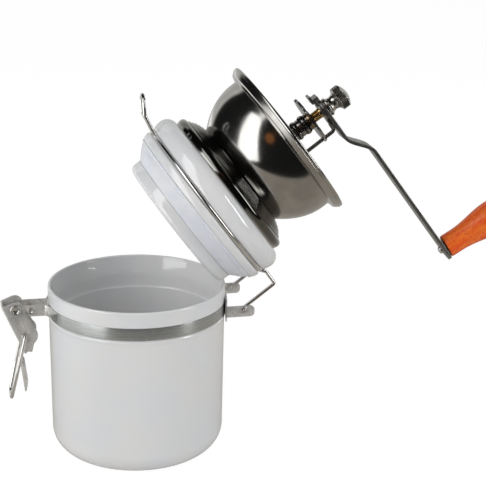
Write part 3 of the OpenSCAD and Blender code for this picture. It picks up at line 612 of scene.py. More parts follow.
def hopper_bowl():
    """The hopper: a thin bowl with a flared rim, beaded at its edge, and an open throat."""
    wall, top, throat, steps = 1.0, RIM_Z - 6, 17.5, 40
    heights = [BOWL_Z + (top - BOWL_Z) * i / steps for i in range(steps + 1)]
    profile = (
        [(throat, BOWL_Z), (FOOT_R - 0.3, BOWL_Z)]
        + [(bowl_out(z), z) for z in heights]
        + [(42.9, top + 0.25), (RIM_R - 2.6, top + 0.95), (RIM_R - 2.3, top + 1.05),
           (RIM_R - 1.9, top + 1.35), (RIM_R - 1.7, top + 1.62), (RIM_R - 0.15, top + 3.7),
           (RIM_R - 0.05, top + 3.85), (RIM_R - 0.1, top + 4.0), (RIM_R - 0.35, top + 4.15)]
        + arc(RIM_R - 0.95, RIM_Z - 0.95, 0.95, -40, 90, 12)
        + [(44.6, RIM_Z - 0.15), (43.4, RIM_Z - 0.4)]
        + arc(BOWL_R - wall + 1.6, RIM_Z - 2, 1.6, 90, 180, 8)
        + [(bowl_out(z) - wall, z) for z in reversed(heights[4:])]
        + [(29, BOWL_Z + 3.2), (22, BOWL_Z + 1.8), (throat, BOWL_Z + 1.2)]
    )
    turned("hopper_bowl_mirror", profile, ON_LID, "grinder_head", ["hopper_bowl"], around=288, sharp=50)


def bearing_boss():
    """The turned post in which the shaft runs, with two beads."""
    foot = 151.5
    profile = (
        [(4.6, foot - 1.5), (8, foot - 1.5), (8, foot), (6.4, foot), (6.4, foot + 2.4), (8.2, foot + 2.4),
         (8.2, foot + 4), (6.2, foot + 5.4), (5.4, 163.5), (5.1, 166), (5.2, 167.6)]
        + arc(3.7, 169.8, 2, -45, 50, 12)
        + [(5.1, 172.2), (5.1, 172.9)]
        + arc(3.6, 175.3, 2.3, -50, 50, 12)
        + [(5.1, 177.5), (5.1, BOSS_TOP - 0.3), (4.8, BOSS_TOP), (4.6, BOSS_TOP)]
    )
    turned("bearing_boss_turned", profile, ON_LID, "grinder_head", ["bearing_boss"], around=96, round_by=0.12)


def adjusting_disc():
    """The disc that sets the grind: round notches for the stopper's rod, and a low hub."""
    outline = []
    slot, bore, hub_r, hub_h = ROD_R + 0.25, SHAFT_R + 0.05, 5.4, 0.8
    for i in range(NOTCHES):
        g = 360 / NOTCHES * i
        gap = math.degrees(math.asin(slot / DISC_R))
        c, s = math.cos(math.radians(g)), math.sin(math.radians(g))
        inner = [(ROD_X + x, y) for x, y in arc(0, 0, slot, 270, 90, 10)]
        outline += [(x * c - y * s, x * s + y * c) for x, y in inner]
        outline += arc(0, 0, DISC_R, g + gap, g + 360 / NOTCHES - gap, 14)
    top = DISC_Z + DISC_T
    plate = plate_mesh("disc", outline, [circle(0, 0, bore, 48)], DISC_Z, top, 0.14)
    ring = [(bore, top - 0.1), (hub_r, top - 0.1), (hub_r, top + hub_h), (bore, top + hub_h)]
    hub = lathe_mesh("hub", soften(ring, 0.2), 64)
    piece("adjusting_disc_notched", joined("adjusting_disc", [plate, hub]), ON_LID, "adjuster",
          ["adjusting_disc"])


def threaded_shaft():
    """The brass shaft, with a true helical thread under the crank and a plain stud above."""
    low, start, pitch, deep, step = 88.0, 165.0, 1.0, 0.5, 0.1
    top, stud_top = STOPPER_Z - 0.6, 202.0
    rows = [(SHAFT_R, low), (SHAFT_R, 120), (SHAFT_R, 150), (SHAFT_R, start)]
    rows += [(None, start + step * (k + 1)) for k in range(int((top - start) / step) - 1)]
    rows += [(SHAFT_R, top), (SHAFT_R, STOPPER_Z), (STUD_R, STOPPER_Z), (STUD_R, stud_top - 0.5),
             (STUD_R - 0.5, stud_top)]
    around, verts, faces = 64, [], []
    for i in range(around):
        t = i / around
        for r, z in rows:
            if r is None:
                wave = abs(((z - start) / pitch - t) % 1 - 0.5) * 2
                fade = min(1, (z - start) / 1.0, (top - z) / 1.0)
                r = SHAFT_R - deep * fade * (1 - wave)
            a = 2 * math.pi * t
            verts.append((r * math.cos(a), r * math.sin(a), z))
    n = len(rows)
    for i in range(around):
        k = (i + 1) % around
        faces += [(i * n + j, k * n + j, k * n + j + 1, i * n + j + 1) for j in range(n - 1)]
    faces += [tuple(i * n for i in range(around)), tuple(i * n + n - 1 for i in range(around))]
    piece("shaft_threaded", mesh_from("shaft", verts, faces), ON_LID, "spindle", ["shaft"], 50)


def stopper_plate():
    """The plate under the crank, with a folded tail and a rod that drops into the disc."""
    z0, z1, tab = STOPPER_Z, STOPPER_Z + STOPPER_T, 3.5
    outline = (
        arc(0, 0, 6, 35.7, 144.3, 16)
        + [(-8.6, tab), (-8.6, -tab)]
        + arc(0, 0, 6, 215.7, 324.3, 16)
        + [(8, -tab), (8.6, -2.4), (ROD_X - 1.2, -1.3), (ROD_X - 1.2, 1.3), (8.6, 2.4), (8, tab)]
    )
    plate = plate_mesh("plate", outline, [circle(0, 0, STUD_R, 40)], z0, z1, 0.18)
    # The tail steps down beside the plate, and its end is folded up
    side = [(-7.4, z0 + 3.4), (-9.8, z0 + 3.4), (-9.8, z0), (-12.2, z0), (-12.2, z0 - 1.4), (-7.4, z0 - 1.4)]
    tail = plate_mesh("tail", side, [], 0, 2 * tab, 0.18, Matrix.Translation((0, tab, 0)) @ UPRIGHT)
    path = bent_path([(9, 0, z0 + 0.6), (ROD_X, 0, z0 + 0.6), (ROD_X, 0, 160.5)], [2.2], 8)
    rod = tube_mesh("rod", path, ROD_R)
    piece("stopper_plate_pressed", joined("stopper_plate", [plate, tail, rod]), ON_LID, "spindle",
          ["stopper_plate"])


def arm_line(x):
    """How far the crank has risen at x, over its S-bend."""
    return ARM_RISE * ease((x - BEND_X) / BEND_LEN)


def crank_arm():
    """A flat steel strip with an S-bend and rounded ends."""
    end, half, edge = CRANK_R + 1, ARM_W / 2, 0.25
    # The places of its cross-sections, which lie closer together over the bend and at the ends
    low, high = BEND_X - 2, BEND_X + BEND_LEN + 2
    xs = [-half + half * (1 - math.cos(math.pi / 2 * k / 10)) for k in range(11)]
    xs += [low * k / 4 for k in range(1, 4)] + [low + (high - low) * k / 40 for k in range(41)]
    xs += [high + (end - high) * k / 16 for k in range(1, 17)]
    xs += [end + half * math.sin(math.pi / 2 * k / 10) for k in range(1, 11)]
    rings, flat = [], ARM_T / 2
    for x in xs:
        over = max(0.0, -x, x - end)
        w = math.sqrt(max(half * half - over * over, 0.0025))
        slope = math.atan((arm_line(x + 0.05) - arm_line(x - 0.05)) / 0.1)
        mid_z = ARM_Z + flat + arm_line(x)
        e = min(edge, w * 0.5)
        section = [(-w, -flat + e), (-w + 0.3 * e, -flat + 0.3 * e), (-w + e, -flat), (w - e, -flat),
                   (w - 0.3 * e, -flat + 0.3 * e), (w, -flat + e), (w, flat - e),
                   (w - 0.3 * e, flat - 0.3 * e), (w - e, flat), (-w + e, flat),
                   (-w + 0.3 * e, flat - 0.3 * e), (-w, flat - e)]
        rings.append([(x - h * math.sin(slope), y, mid_z + h * math.cos(slope)) for y, h in section])
    piece("crank_arm_strip", skin_mesh("crank_arm", rings), ON_LID, "spindle", ["crank_arm"], 35)


def thumb_nut():
    """The nut that locks the crank: a waisted neck under a domed and knurled head."""
    z0, head, knurls, deep = NUT_Z, 6.9, 40, 0.6
    body = [(STUD_R + 0.05, z0), (5.6, z0), (5.7, z0 + 0.9), (4.4, z0 + 2), (3.95, z0 + 3.6),
            (4.3, z0 + 5.4), (5.4, z0 + 6.4)]
    profile = (
        soften(body, 0.3, closed=False)
        + [(head - 0.5, z0 + 6.9), (head, z0 + 7.4)]
        + [(head, z0 + 7.4 + 3.8 * k / 6) for k in range(1, 7)]
        + [(head - 0.6, z0 + 11.8)]
        + arc(0, z0 + 3.2, 10.6, 54.3, 90, 12)[1:-1]
        + [(0.01, z0 + 13.8), (0.01, z0 + 12.6), (STUD_R + 0.05, z0 + 12.6)]
    )

    def knurl(r, z, t):
        """Grooves the head's side, fading out towards both ends of it."""
        run = min(1.0, max(0.0, (z - z0 - 6.9) / 0.6), max(0.0, (z0 + 12.0 - z) / 0.6))
        if r < head - 0.9 or run <= 0:
            return r, z
        wave = abs((t / (2 * math.pi) * knurls) % 1 - 0.5) * 2
        return r - deep * run * max(0.0, 1 - wave * 1.1), z

    mesh = lathe_mesh("thumb_nut", refine(profile, 2.0), 360, knurl)
    piece("thumb_nut_knurled", mesh, ON_LID, "thumb_nut", ["thumb_nut"], 28)


def spring_washer():
    """A split ring between the crank and the nut."""
    z0, z1, inner, outer = ARM_TOP + 0.02, ARM_TOP + 0.98, STUD_R + 0.1, 5.4
    section = soften([(inner, z0), (outer, z0), (outer, z1), (inner, z1)], 0.15)
    around, gap, rings = 72, math.radians(7), []
    for i in range(around + 1):
        a = gap / 2 + (2 * math.pi - gap) * i / around
        rings.append([(r * math.cos(a), r * math.sin(a), z) for r, z in section])
    piece("spring_washer_split", skin_mesh("spring_washer", rings), ON_LID, "lock_washer", ["spring_washer"])


def knob():
    """The wooden knob: a narrow neck that swells to a rounded end."""
    top, neck = KNOB_Z + KNOB_LEN, 7.0
    shares = [k / 32 for k in range(33)]
    swell = [(neck + (KNOB_R - neck) * ease(s), KNOB_Z + 8 + (KNOB_LEN - 25) * s) for s in shares]
    profile = (
        [(PIN_R + 0.05, KNOB_Z), (neck - 1.1, KNOB_Z), (neck - 0.5, KNOB_Z + 0.15),
         (neck - 0.1, KNOB_Z + 0.6), (neck, KNOB_Z + 1.4), (neck, KNOB_Z + 5)]
        + swell
        + arc(KNOB_R - 7, top - 8, 7, 4, 66, 20)
        + [(4.9, top - 1.5), (4.7, top - 2.0), (4.7, top - 6), (PIN_R + 0.05, top - 6)]
    )
    turned("knob_turned_wood", profile, AT_KNOB, "knob", ["knob"], around=144, sharp=50)


def knob_pin():
    """The pin through the knob, riveted under the arm, with a head sunk in the knob's end."""
    lean, head_r, shank_r = math.sin(math.radians(KNOB_LEAN)), 2.3, 1.9
    head_z, shoulder_z = -ARM_T - 0.01 - head_r * lean, 0.01 + PIN_R * lean
    top = KNOB_Z + KNOB_LEN - 5.8
    profile = (
        [(0.01, head_z - 1.7), (1.2, head_z - 1.65), (1.8, head_z - 1.4), (2.2, head_z - 0.9),
         (head_r, head_z - 0.4), (head_r, head_z), (shank_r, head_z), (shank_r, shoulder_z),
         (PIN_R, shoulder_z), (PIN_R, top), (4.4, top)]
        + arc(0, top - 2.7, 4.77, 35, 90, 10)[:-1]
        + [(0.01, top + 2.07)]
    )
    turned("knob_pin_riveted", profile, AT_KNOB, "spindle", ["knob_pin"], around=64)


def knob_washer():
    """A flat washer between the arm and the knob."""
    low, high = WASHER_Z, WASHER_Z + WASHER_T
    ring = [(PIN_R, low), (WASHER_R, low), (WASHER_R, high), (PIN_R, high)]
    turned("knob_washer_flat", ring, AT_KNOB, "spindle", ["knob_washer"], around=64, round_by=0.12)


# Surfaces

def node_group(name, inputs, outputs):
    """An empty shader group with these sockets: (name, type, default)."""
    group = bpy.data.node_groups.new(name, "ShaderNodeTree")
    for label, kind, value in inputs:
        s = group.interface.new_socket(label, in_out="INPUT", socket_type=kind)
        if value is not None:
            s.default_value = value
    for label, kind in outputs:
        group.interface.new_socket(label, in_out="OUTPUT", socket_type=kind)
    return group, group.nodes.new("NodeGroupInput"), group.nodes.new("NodeGroupOutput")


def feed(tree, socket, value):
    """Links another node's socket into this one, or sets it to a value."""
    if isinstance(value, bpy.types.NodeSocket):
        tree.links.new(value, socket)
    else:
        socket.default_value = value


def put(tree, kind, inputs=None, **settings):
    """A node with its settings and its inputs, each a value or another node's socket."""
    node = tree.nodes.new(kind)
    for key, value in settings.items():
        setattr(node, key, value)
    for key, value in (inputs or {}).items():
        feed(tree, node.inputs[key], value)
    return node


def ramp(tree, fac, low, high, a=0.0, b=1.0):
    """Maps fac from low..high to a..b, smoothly."""
    node = put(tree, "ShaderNodeMapRange", {"Value": fac, "From Min": low, "From Max": high,
                                            "To Min": a, "To Max": b}, interpolation_type="SMOOTHSTEP")
    return node.outputs["Result"]


def mix(tree, fac, a, b):
    """The colour between a and b, each a colour or a socket."""
    node = put(tree, "ShaderNodeMix", data_type="RGBA")
    for key, value in ((0, fac), (6, a), (7, b)):
        feed(tree, node.inputs[key], (*value, 1) if isinstance(value, tuple) else value)
    return node.outputs[2]


def mix_shader(tree, fac, a, b):
    """The shader a where fac is 0, and b where it is 1."""
    return put(tree, "ShaderNodeMixShader", {0: fac, 1: a.outputs[0], 2: b.outputs[0]})


def math_node(tree, kind, a, b):
    """The result of one Math node."""
    return put(tree, "ShaderNodeMath", {0: a, 1: b}, operation=kind).outputs[0]


def times(tree, a, b):
    """The product of a and b."""
    return math_node(tree, "MULTIPLY", a, b)


def own_place(tree):
    """Where a point lies in its object's own space."""
    return put(tree, "ShaderNodeTexCoord").outputs["Object"]


def stretched(tree, place, by):
    """The place multiplied axis by axis, which stretches what is drawn along its small values."""
    return put(tree, "ShaderNodeVectorMath", {0: place, 1: by}, operation="MULTIPLY").outputs[0]


def noise(tree, place, scale, detail, **more):
    """Noise at a place. more sets its other inputs, such as Roughness."""
    inputs = {"Vector": place, "Scale": scale, "Detail": detail, **more}
    return put(tree, "ShaderNodeTexNoise", inputs).outputs["Fac"]


def patches_group():
    """Soft uneven patches: a mask of large clouds, and one of small specks."""
    g, i, o = node_group("uneven_patches", [("Scale", "NodeSocketFloat", 30.0),
                                            ("Speck Scale", "NodeSocketFloat", 900.0)],
                         [("Clouds", "NodeSocketFloat"), ("Specks", "NodeSocketFloat")])
    place = own_place(g)
    clouds = noise(g, place, i.outputs["Scale"], 3.0)
    specks = noise(g, place, i.outputs["Speck Scale"], 1.0)
    g.links.new(clouds, o.inputs["Clouds"])
    g.links.new(ramp(g, specks, 0.68, 0.76), o.inputs["Specks"])
    return g


def round_brush_group():
    """Fine streaks that run round the upright axis, as on a piece brushed in a lathe."""
    g, i, o = node_group("brushed_round", [("Lines", "NodeSocketFloat", 4.0)],
                         [("Streaks", "NodeSocketFloat"), ("Broad", "NodeSocketFloat")])
    part = put(g, "ShaderNodeSeparateXYZ", {"Vector": own_place(g)})
    flat = put(g, "ShaderNodeCombineXYZ", {"X": part.outputs["X"], "Y": part.outputs["Y"]}).outputs[0]
    r = put(g, "ShaderNodeVectorMath", {0: flat}, operation="LENGTH").outputs["Value"]
    unit = put(g, "ShaderNodeVectorMath", {0: flat}, operation="NORMALIZE").outputs[0]
    turn = put(g, "ShaderNodeSeparateXYZ", {"Vector": unit})
    across = math_node(g, "ADD", part.outputs["Z"], r)
    high = times(g, across, i.outputs["Lines"])
    where = put(g, "ShaderNodeCombineXYZ", {"X": turn.outputs["X"], "Y": turn.outputs["Y"],
                                            "Z": high}).outputs[0]
    g.links.new(noise(g, where, 3.0, 6.0, Roughness=0.75), o.inputs["Streaks"])
    g.links.new(noise(g, where, 0.7, 2.0), o.inputs["Broad"])
    return g


def long_brush_group():
    """Fine streaks along one direction, as on rolled or belt-ground strip."""
    g, i, o = node_group("brushed_along", [("Squeeze", "NodeSocketVector", (0.05, 1.0, 1.0)),
                                           ("Scale", "NodeSocketFloat", 3.0)],
                         [("Streaks", "NodeSocketFloat"), ("Blots", "NodeSocketFloat")])
    place = own_place(g)
    drawn = stretched(g, place, i.outputs["Squeeze"])
    g.links.new(noise(g, drawn, i.outputs["Scale"], 5.0, Roughness=0.7), o.inputs["Streaks"])
    g.links.new(noise(g, place, 0.25, 3.0), o.inputs["Blots"])
    return g


def edge_group():
    """Masks of edges and hollows, from the shape's own curvature, which lighten edges for wear and a painted
    highlight and darken hollows for dirt and painted shade.
    """
    g, i, o = node_group("worn_edges", [("Low", "NodeSocketFloat", 0.52), ("High", "NodeSocketFloat", 0.62)],
                         [("Edges", "NodeSocketFloat"), ("Hollows", "NodeSocketFloat")])
    point = put(g, "ShaderNodeNewGeometry").outputs["Pointiness"]
    edges = put(g, "ShaderNodeMapRange", {"Value": point, "From Min": i.outputs["Low"],
                                          "From Max": i.outputs["High"]})
    hollows = put(g, "ShaderNodeMapRange", {"Value": point, "From Min": 0.48, "From Max": 0.38})
    g.links.new(edges.outputs["Result"], o.inputs["Edges"])
    g.links.new(hollows.outputs["Result"], o.inputs["Hollows"])
    return g


PATCHES = patches_group()
ROUND_BRUSH = round_brush_group()
LONG_BRUSH = long_brush_group()
EDGE_MASKS = edge_group()


def use(tree, group, **values):
    """One of the shared groups, with its own values: Speck_Scale sets the input Speck Scale."""
    node = tree.nodes.new("ShaderNodeGroup")
    node.node_tree = group
    for key, value in values.items():
        node.inputs[key.replace("_", " ")].default_value = value
    return node


def material(name):
    """A new material with its node tree and its main shader."""
    mat = bpy.data.materials.new(name)
    mat.use_nodes = True
    tree = mat.node_tree
    shader = tree.nodes["Principled BSDF"]
    return mat, tree, shader


def dress(tree, shader, colour, roughness):
    """Links a colour and a roughness into the main shader."""
    tree.links.new(colour, shader.inputs["Base Color"])
    tree.links.new(roughness, shader.inputs["Roughness"])


def bump(tree, shader, height, strength, distance):
    """Roughens the shading, not the shape, by a height."""
    node = put(tree, "ShaderNodeBump", {"Height": height, "Strength": strength, "Distance": distance})
    tree.links.new(node.outputs["Normal"], shader.inputs["Normal"])


def glaze(name, tint, cool):
    """White glaze over stoneware: a little uneven in tone, with a few pin specks and a soft ripple."""
    mat, tree, shader = material(name)
    spots = use(tree, PATCHES, Scale=0.035, Speck_Scale=0.9)
    tone = mix(tree, ramp(tree, spots.outputs["Clouds"], 0.35, 0.65), tint, cool)
    speck = times(tree, spots.outputs["Specks"], 0.06)
    specked = mix(tree, speck, tone, (0.45, 0.43, 0.40))
    dress(tree, shader, specked, ramp(tree, spots.outputs["Clouds"], 0.3, 0.7, 0.04, 0.08))
    shader.inputs["Specular IOR Level"].default_value = 0.85
    bump(tree, shader, noise(tree, own_place(tree), 0.12, 2.0), 0.08, 0.0006)
    return mat


def metal_round(name, base, wear_and_sheen, rough, lines=4.0, bump_by=0.15, metal=1.0, smear=0.3):
    """Metal brushed or turned round the upright axis."""
    mat, tree, shader = material(name)
    marks = use(tree, ROUND_BRUSH, Lines=lines)
    edge = use(tree, EDGE_MASKS)
    tone = mix(tree, ramp(tree, marks.outputs["Streaks"], 0.3, 0.7), base, wear_and_sheen)
    lit = mix(tree, times(tree, edge.outputs["Edges"], 0.4), tone, wear_and_sheen)
    dress(tree, shader, lit, ramp(tree, marks.outputs["Streaks"], 0.25, 0.75, rough * 0.8, rough * 1.25))
    shader.inputs["Metallic"].default_value = metal
    shader.inputs["Anisotropic"].default_value = smear
    shader.inputs["Anisotropic Rotation"].default_value = 0.25
    bump(tree, shader, marks.outputs["Streaks"], bump_by, 0.00003)
    return mat


def metal_along(name, base, wear_and_sheen, rough, squeeze=(0.06, 1, 1), scale=3.0, bump_by=0.2, dirt=0.35, metal=1.0):
    """Pressed or ground sheet steel, streaked along one way, with blots, edges toned for wear and a painted
    highlight, and hollows darkened for dirt and painted shade.
    """
    mat, tree, shader = material(name)
    marks = use(tree, LONG_BRUSH, Squeeze=squeeze, Scale=scale)
    edge = use(tree, EDGE_MASKS)
    tone = mix(tree, ramp(tree, marks.outputs["Streaks"], 0.3, 0.7), base, wear_and_sheen)
    dirty = times(tree, ramp(tree, marks.outputs["Blots"], 0.5, 0.75), dirt)
    blot = mix(tree, dirty, tone, tuple(c * 0.55 for c in base))
    # Edges move towards the second tone: wear, and a painted highlight on the thumb nut's knurl ridges
    lit = mix(tree, times(tree, edge.outputs["Edges"], 0.5), blot, wear_and_sheen)
    # Hollows darken: dirt, and painted shade in the thumb nut's knurl grooves
    hollow_grime_and_shade = times(tree, edge.outputs["Hollows"], 0.5)
    darkened_hollows = mix(tree, hollow_grime_and_shade, lit, tuple(c * 0.3 for c in base))
    dress(tree, shader, darkened_hollows, ramp(tree, marks.outputs["Blots"], 0.3, 0.7, rough * 0.8, rough * 1.3))
    shader.inputs["Metallic"].default_value = metal
    bump(tree, shader, marks.outputs["Streaks"], bump_by, 0.00004)
    return mat


def mirror_chrome(name, base, smear, rough, edge_sheen=0.0):
    """Black chrome: a dark mirror with faint turning lines, a slight smear and edges lightened by a painted
    highlight.
    """
    mat, tree, shader = material(name)
    marks = use(tree, ROUND_BRUSH, Lines=1.2)
    spots = use(tree, PATCHES, Scale=0.06, Speck_Scale=1.2)
    tone = mix(tree, ramp(tree, spots.outputs["Clouds"], 0.35, 0.65), base, smear)
    edge = use(tree, EDGE_MASKS)
    # A painted highlight: edges lightened towards pale grey
    lit = mix(tree, times(tree, edge.outputs["Edges"], edge_sheen), tone, (0.75, 0.74, 0.71))
    dress(tree, shader, lit, ramp(tree, spots.outputs["Clouds"], 0.3, 0.7, rough * 0.8, rough * 1.25))
    shader.inputs["Metallic"].default_value = 1.0
    bump(tree, shader, marks.outputs["Broad"], 0.02, 0.00004)
    return mat


def silicone():
    """Pale seal that lets a little light in."""
    mat, tree, shader = material("gasket_silicone")
    spots = use(tree, PATCHES, Scale=0.08, Speck_Scale=1.5)
    tone = mix(tree, ramp(tree, spots.outputs["Clouds"], 0.35, 0.65), (0.80, 0.82, 0.88), (0.85, 0.86, 0.90))
    dress(tree, shader, tone, ramp(tree, spots.outputs["Clouds"], 0.3, 0.7, 0.28, 0.4))
    shader.inputs["Subsurface Weight"].default_value = 0.5
    shader.inputs["Subsurface Radius"].default_value = (0.003, 0.003, 0.004)
    shader.inputs["IOR"].default_value = 1.42
    bump(tree, shader, spots.outputs["Clouds"], 0.1, 0.0002)
    return mat


def varnished_wood():
    """Fine-grained wood under a red-orange stain and a clear varnish, blotchy where the stain sank in."""
    mat, tree, shader = material("knob_varnished_wood")
    place = own_place(tree)
    bands = noise(tree, stretched(tree, place, (1.0, 1.0, 0.22)), 0.45, 5.0, Roughness=0.62, Distortion=0.6)
    blots = noise(tree, place, 0.55, 4.0, Roughness=0.65)
    pores = noise(tree, stretched(tree, place, (1.0, 1.0, 0.07)), 4.0, 3.0, Roughness=0.7)
    tone = mix(tree, ramp(tree, bands, 0.36, 0.64), (1.0, 0.21, 0.025), (0.90, 0.10, 0.008))
    blotched = times(tree, ramp(tree, blots, 0.5, 0.7), 0.55)
    sunk = mix(tree, blotched, tone, (0.70, 0.045, 0.004))
    pored = times(tree, ramp(tree, pores, 0.58, 0.74), 0.4)
    dark = mix(tree, pored, sunk, (0.42, 0.04, 0.007))
    # A painted highlight: the knob's rounded edges, such as its end's rim, lightened to a pale orange
    edge = use(tree, EDGE_MASKS, Low=0.55, High=0.7)
    wear_and_sheen = mix(tree, times(tree, edge.outputs["Edges"], 0.8), dark, (1.0, 0.48, 0.20))
    dress(tree, shader, wear_and_sheen, ramp(tree, blots, 0.3, 0.7, 0.34, 0.48))
    shader.inputs["Specular IOR Level"].default_value = 0.25
    shader.inputs["Coat Weight"].default_value = 0.25
    shader.inputs["Coat Roughness"].default_value = 0.25
    bump(tree, shader, pores, 0.15, 0.00008)
    return mat


def cast(name, base, light, rough):
    """Plain ground iron or sintered metal: grainy, with bright rubbed edges."""
    mat, tree, shader = material(name)
    spots = use(tree, PATCHES, Scale=0.5, Speck_Scale=4.0)
    edge = use(tree, EDGE_MASKS)
    tone = mix(tree, ramp(tree, spots.outputs["Clouds"], 0.35, 0.65), base, light)
    lit = mix(tree, times(tree, edge.outputs["Edges"], 0.6), tone,
              tuple(min(1, c * 1.6) for c in light))
    dress(tree, shader, lit, ramp(tree, spots.outputs["Clouds"], 0.3, 0.7, rough * 0.85, rough * 1.2))
    shader.inputs["Metallic"].default_value = 0.9
    bump(tree, shader, spots.outputs["Clouds"], 0.3, 0.0001)
    return mat


def finishes():
    """The finish of every node."""
    even = (1, 1, 1)
    white = glaze("white_glaze", (0.87, 0.867, 0.862), (0.845, 0.857, 0.87))
    band = metal_round("band_brushed_steel", (0.46, 0.485, 0.49), (0.60, 0.62, 0.62), 0.26, lines=9.0,
                       bump_by=0.3, metal=0.8, smear=0.8)
    pressed = metal_along("pressed_steel", (0.84, 0.83, 0.80), (0.76, 0.75, 0.73), 0.30,
                          squeeze=(1, 1, 0.08), scale=2.5, dirt=0.25, metal=0.55)
    wire = metal_along("bright_wire", (0.74, 0.735, 0.72), (0.82, 0.81, 0.80), 0.12, squeeze=even,
                       scale=1.2, bump_by=0.1, dirt=0.2)
    satin = metal_along("satin_rivet", (0.60, 0.59, 0.57), (0.78, 0.77, 0.75), 0.26, squeeze=even,
                        scale=1.5, metal=0.9)
    black = mirror_chrome("black_chrome", (0.52, 0.51, 0.49), (0.42, 0.41, 0.39), 0.15)
    # The collar's ring steps carry a painted highlight on their edges
    darker = mirror_chrome("collar_black_chrome", (0.17, 0.167, 0.158), (0.115, 0.113, 0.106), 0.10,
                           edge_sheen=0.8)
    dark = metal_along("gunmetal_steel", (0.20, 0.195, 0.18), (0.33, 0.325, 0.31), 0.34, metal=0.9)
    turned_black = metal_round("turned_black_steel", (0.30, 0.29, 0.275), (0.40, 0.39, 0.37), 0.24,
                               lines=2.0, bump_by=0.05)
    grey = metal_along("grey_steel", (0.30, 0.29, 0.27), (0.48, 0.47, 0.45), 0.26, squeeze=even, scale=1.5)
    # The nut's knurl ridges carry a painted highlight and its grooves painted shade, through the edge and
    # hollow masks
    nut = metal_along("thumb_nut_steel", (0.40, 0.39, 0.36), (0.66, 0.65, 0.61), 0.27, squeeze=even,
                      scale=1.5, bump_by=0.1)
    brass = metal_round("plain_brass", (0.55, 0.36, 0.13), (0.76, 0.60, 0.32), 0.24, lines=2.0)
    iron = cast("ground_iron", (0.20, 0.20, 0.20), (0.33, 0.33, 0.33), 0.42)
    return {
        "canister": white, "lid": white, "neck_band": band, "hinge_bracket": pressed,
        "latch_bracket": pressed, "latch_lever": pressed, "band_screw": satin, "lever_rivet": satin,
        "latch_loop": wire, "lid_wire": wire, "gasket": silicone(), "collar": darker, "hopper_bowl": black,
        "hopper_bridge": black, "bearing_boss": turned_black, "bearing_bush": brass, "bridge_rivets": satin,
        "burr_housing": iron, "housing_nut": pressed, "outer_burr": iron, "lower_bearing": iron,
        "thrust_washer": brass, "adjusting_disc": grey, "shaft": brass, "inner_burr": iron,
        "burr_washer": pressed, "burr_screw": satin, "burr_spring": wire, "stopper_plate": dark,
        "crank_arm": dark, "knob_pin": satin, "knob_washer": dark, "spring_washer": grey,
        "thumb_nut": nut, "knob": varnished_wood(),
    }


def wear(finish):
    """Each CAD node takes its own finish, and each piece that of the node its name begins with."""
    nodes = sorted(frame["nodes"], key=len, reverse=True)
    for obj in bpy.data.objects:
        if obj.type != "MESH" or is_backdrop(obj):
            continue
        node = next(name for name in nodes if obj.name.startswith(name))
        obj.data.materials.clear()
        obj.data.materials.append(finish[node])


# Studio

# The plain light of the room, low and high, and what polished metal mirrors of it
HORIZON, ZENITH = (0.10, 0.10, 0.10), (0.38, 0.382, 0.386)
DARK_ROOM, BACKDROP, BRIGHT_EDGE = (0.014, 0.014, 0.014), (0.62, 0.62, 0.60), (1.0, 1.0, 0.98)
WARM_GLOW = (0.32, 0.13, 0.04)
WHITE = (1, 1, 1, 1)


def studio():
    """The room: dim at the horizon and brighter above for plain light, and, where the metal
    mirrors it, a dark room with a grey backdrop. It shows white to the camera."""
    world = bpy.data.worlds.new("studio")
    bpy.context.scene.world = world
    world.use_nodes = True
    tree = world.node_tree
    tree.nodes.clear()
    ray = put(tree, "ShaderNodeLightPath")
    look = put(tree, "ShaderNodeTexCoord").outputs["Generated"]
    part = put(tree, "ShaderNodeSeparateXYZ", {"Vector": look})
    round_a = math_node(tree, "ARCTAN2", part.outputs["X"], part.outputs["Y"])
    up = put(tree, "ShaderNodeMath", {0: part.outputs["Z"]}, operation="ARCSINE").outputs[0]

    def window(value, low, high, soft):
        """A band of angles, in degrees, with soft edges."""
        a = ramp(tree, value, math.radians(low - soft), math.radians(low + soft))
        b = ramp(tree, value, math.radians(high - soft), math.radians(high + soft), 1.0, 0.0)
        return times(tree, a, b)

    def patch(az, el, soft):
        """Where the turn and the height both lie in their bands."""
        return times(tree, window(round_a, *az, soft), window(up, *el, soft))

    backdrop = mix(tree, patch((-31, 75), (-50, 42), 2.5), DARK_ROOM, BACKDROP)
    brighter = times(tree, patch((-27, -21), (-50, 36), 1.5), 0.5)
    backdrop = mix(tree, brighter, backdrop, BRIGHT_EDGE)
    # A warm glow low on the camera's side, round and soft
    glow_turn, glow_up = math.radians(-151.5), math.radians(23)
    off = put(tree, "ShaderNodeCombineXYZ", {"X": math_node(tree, "SUBTRACT", round_a, glow_turn),
                                             "Y": math_node(tree, "SUBTRACT", up, glow_up)}).outputs[0]
    far = put(tree, "ShaderNodeVectorMath", {0: off}, operation="LENGTH").outputs["Value"]
    glow = times(tree, ramp(tree, far, math.radians(5), math.radians(11), 1.0, 0.0), 0.8)
    room = mix(tree, glow, backdrop, WARM_GLOW)
    mirrored = put(tree, "ShaderNodeBackground", {"Color": room, "Strength": 1.0})
    sky = mix(tree, ramp(tree, part.outputs["Z"], 0.1, 0.75), HORIZON, ZENITH)
    soft = put(tree, "ShaderNodeBackground", {"Color": sky, "Strength": 1.0})
    white = put(tree, "ShaderNodeBackground", {"Color": WHITE, "Strength": 1.0})
    light = mix_shader(tree, ray.outputs["Is Glossy Ray"], soft, mirrored)
    seen = mix_shader(tree, ray.outputs["Is Camera Ray"], light, white)
    out = put(tree, "ShaderNodeOutputWorld")
    tree.links.new(seen.outputs[0], out.inputs["Surface"])
    world.cycles.sampling_method = "NONE"


def table_mesh(half, n):
    """A flat square of n by n faces."""
    mesh = bpy.data.meshes.new("table")
    verts, faces = [], []
    for i in range(n + 1):
        for j in range(n + 1):
            verts.append((-half + 2 * half * i / n, -half + 2 * half * j / n, 0))
    for i in range(n):
        for j in range(n):
            a = i * (n + 1) + j
            faces.append((a, a + n + 1, a + n + 2, a + 1))
    mesh.from_pydata(verts, [], faces)
    return mesh


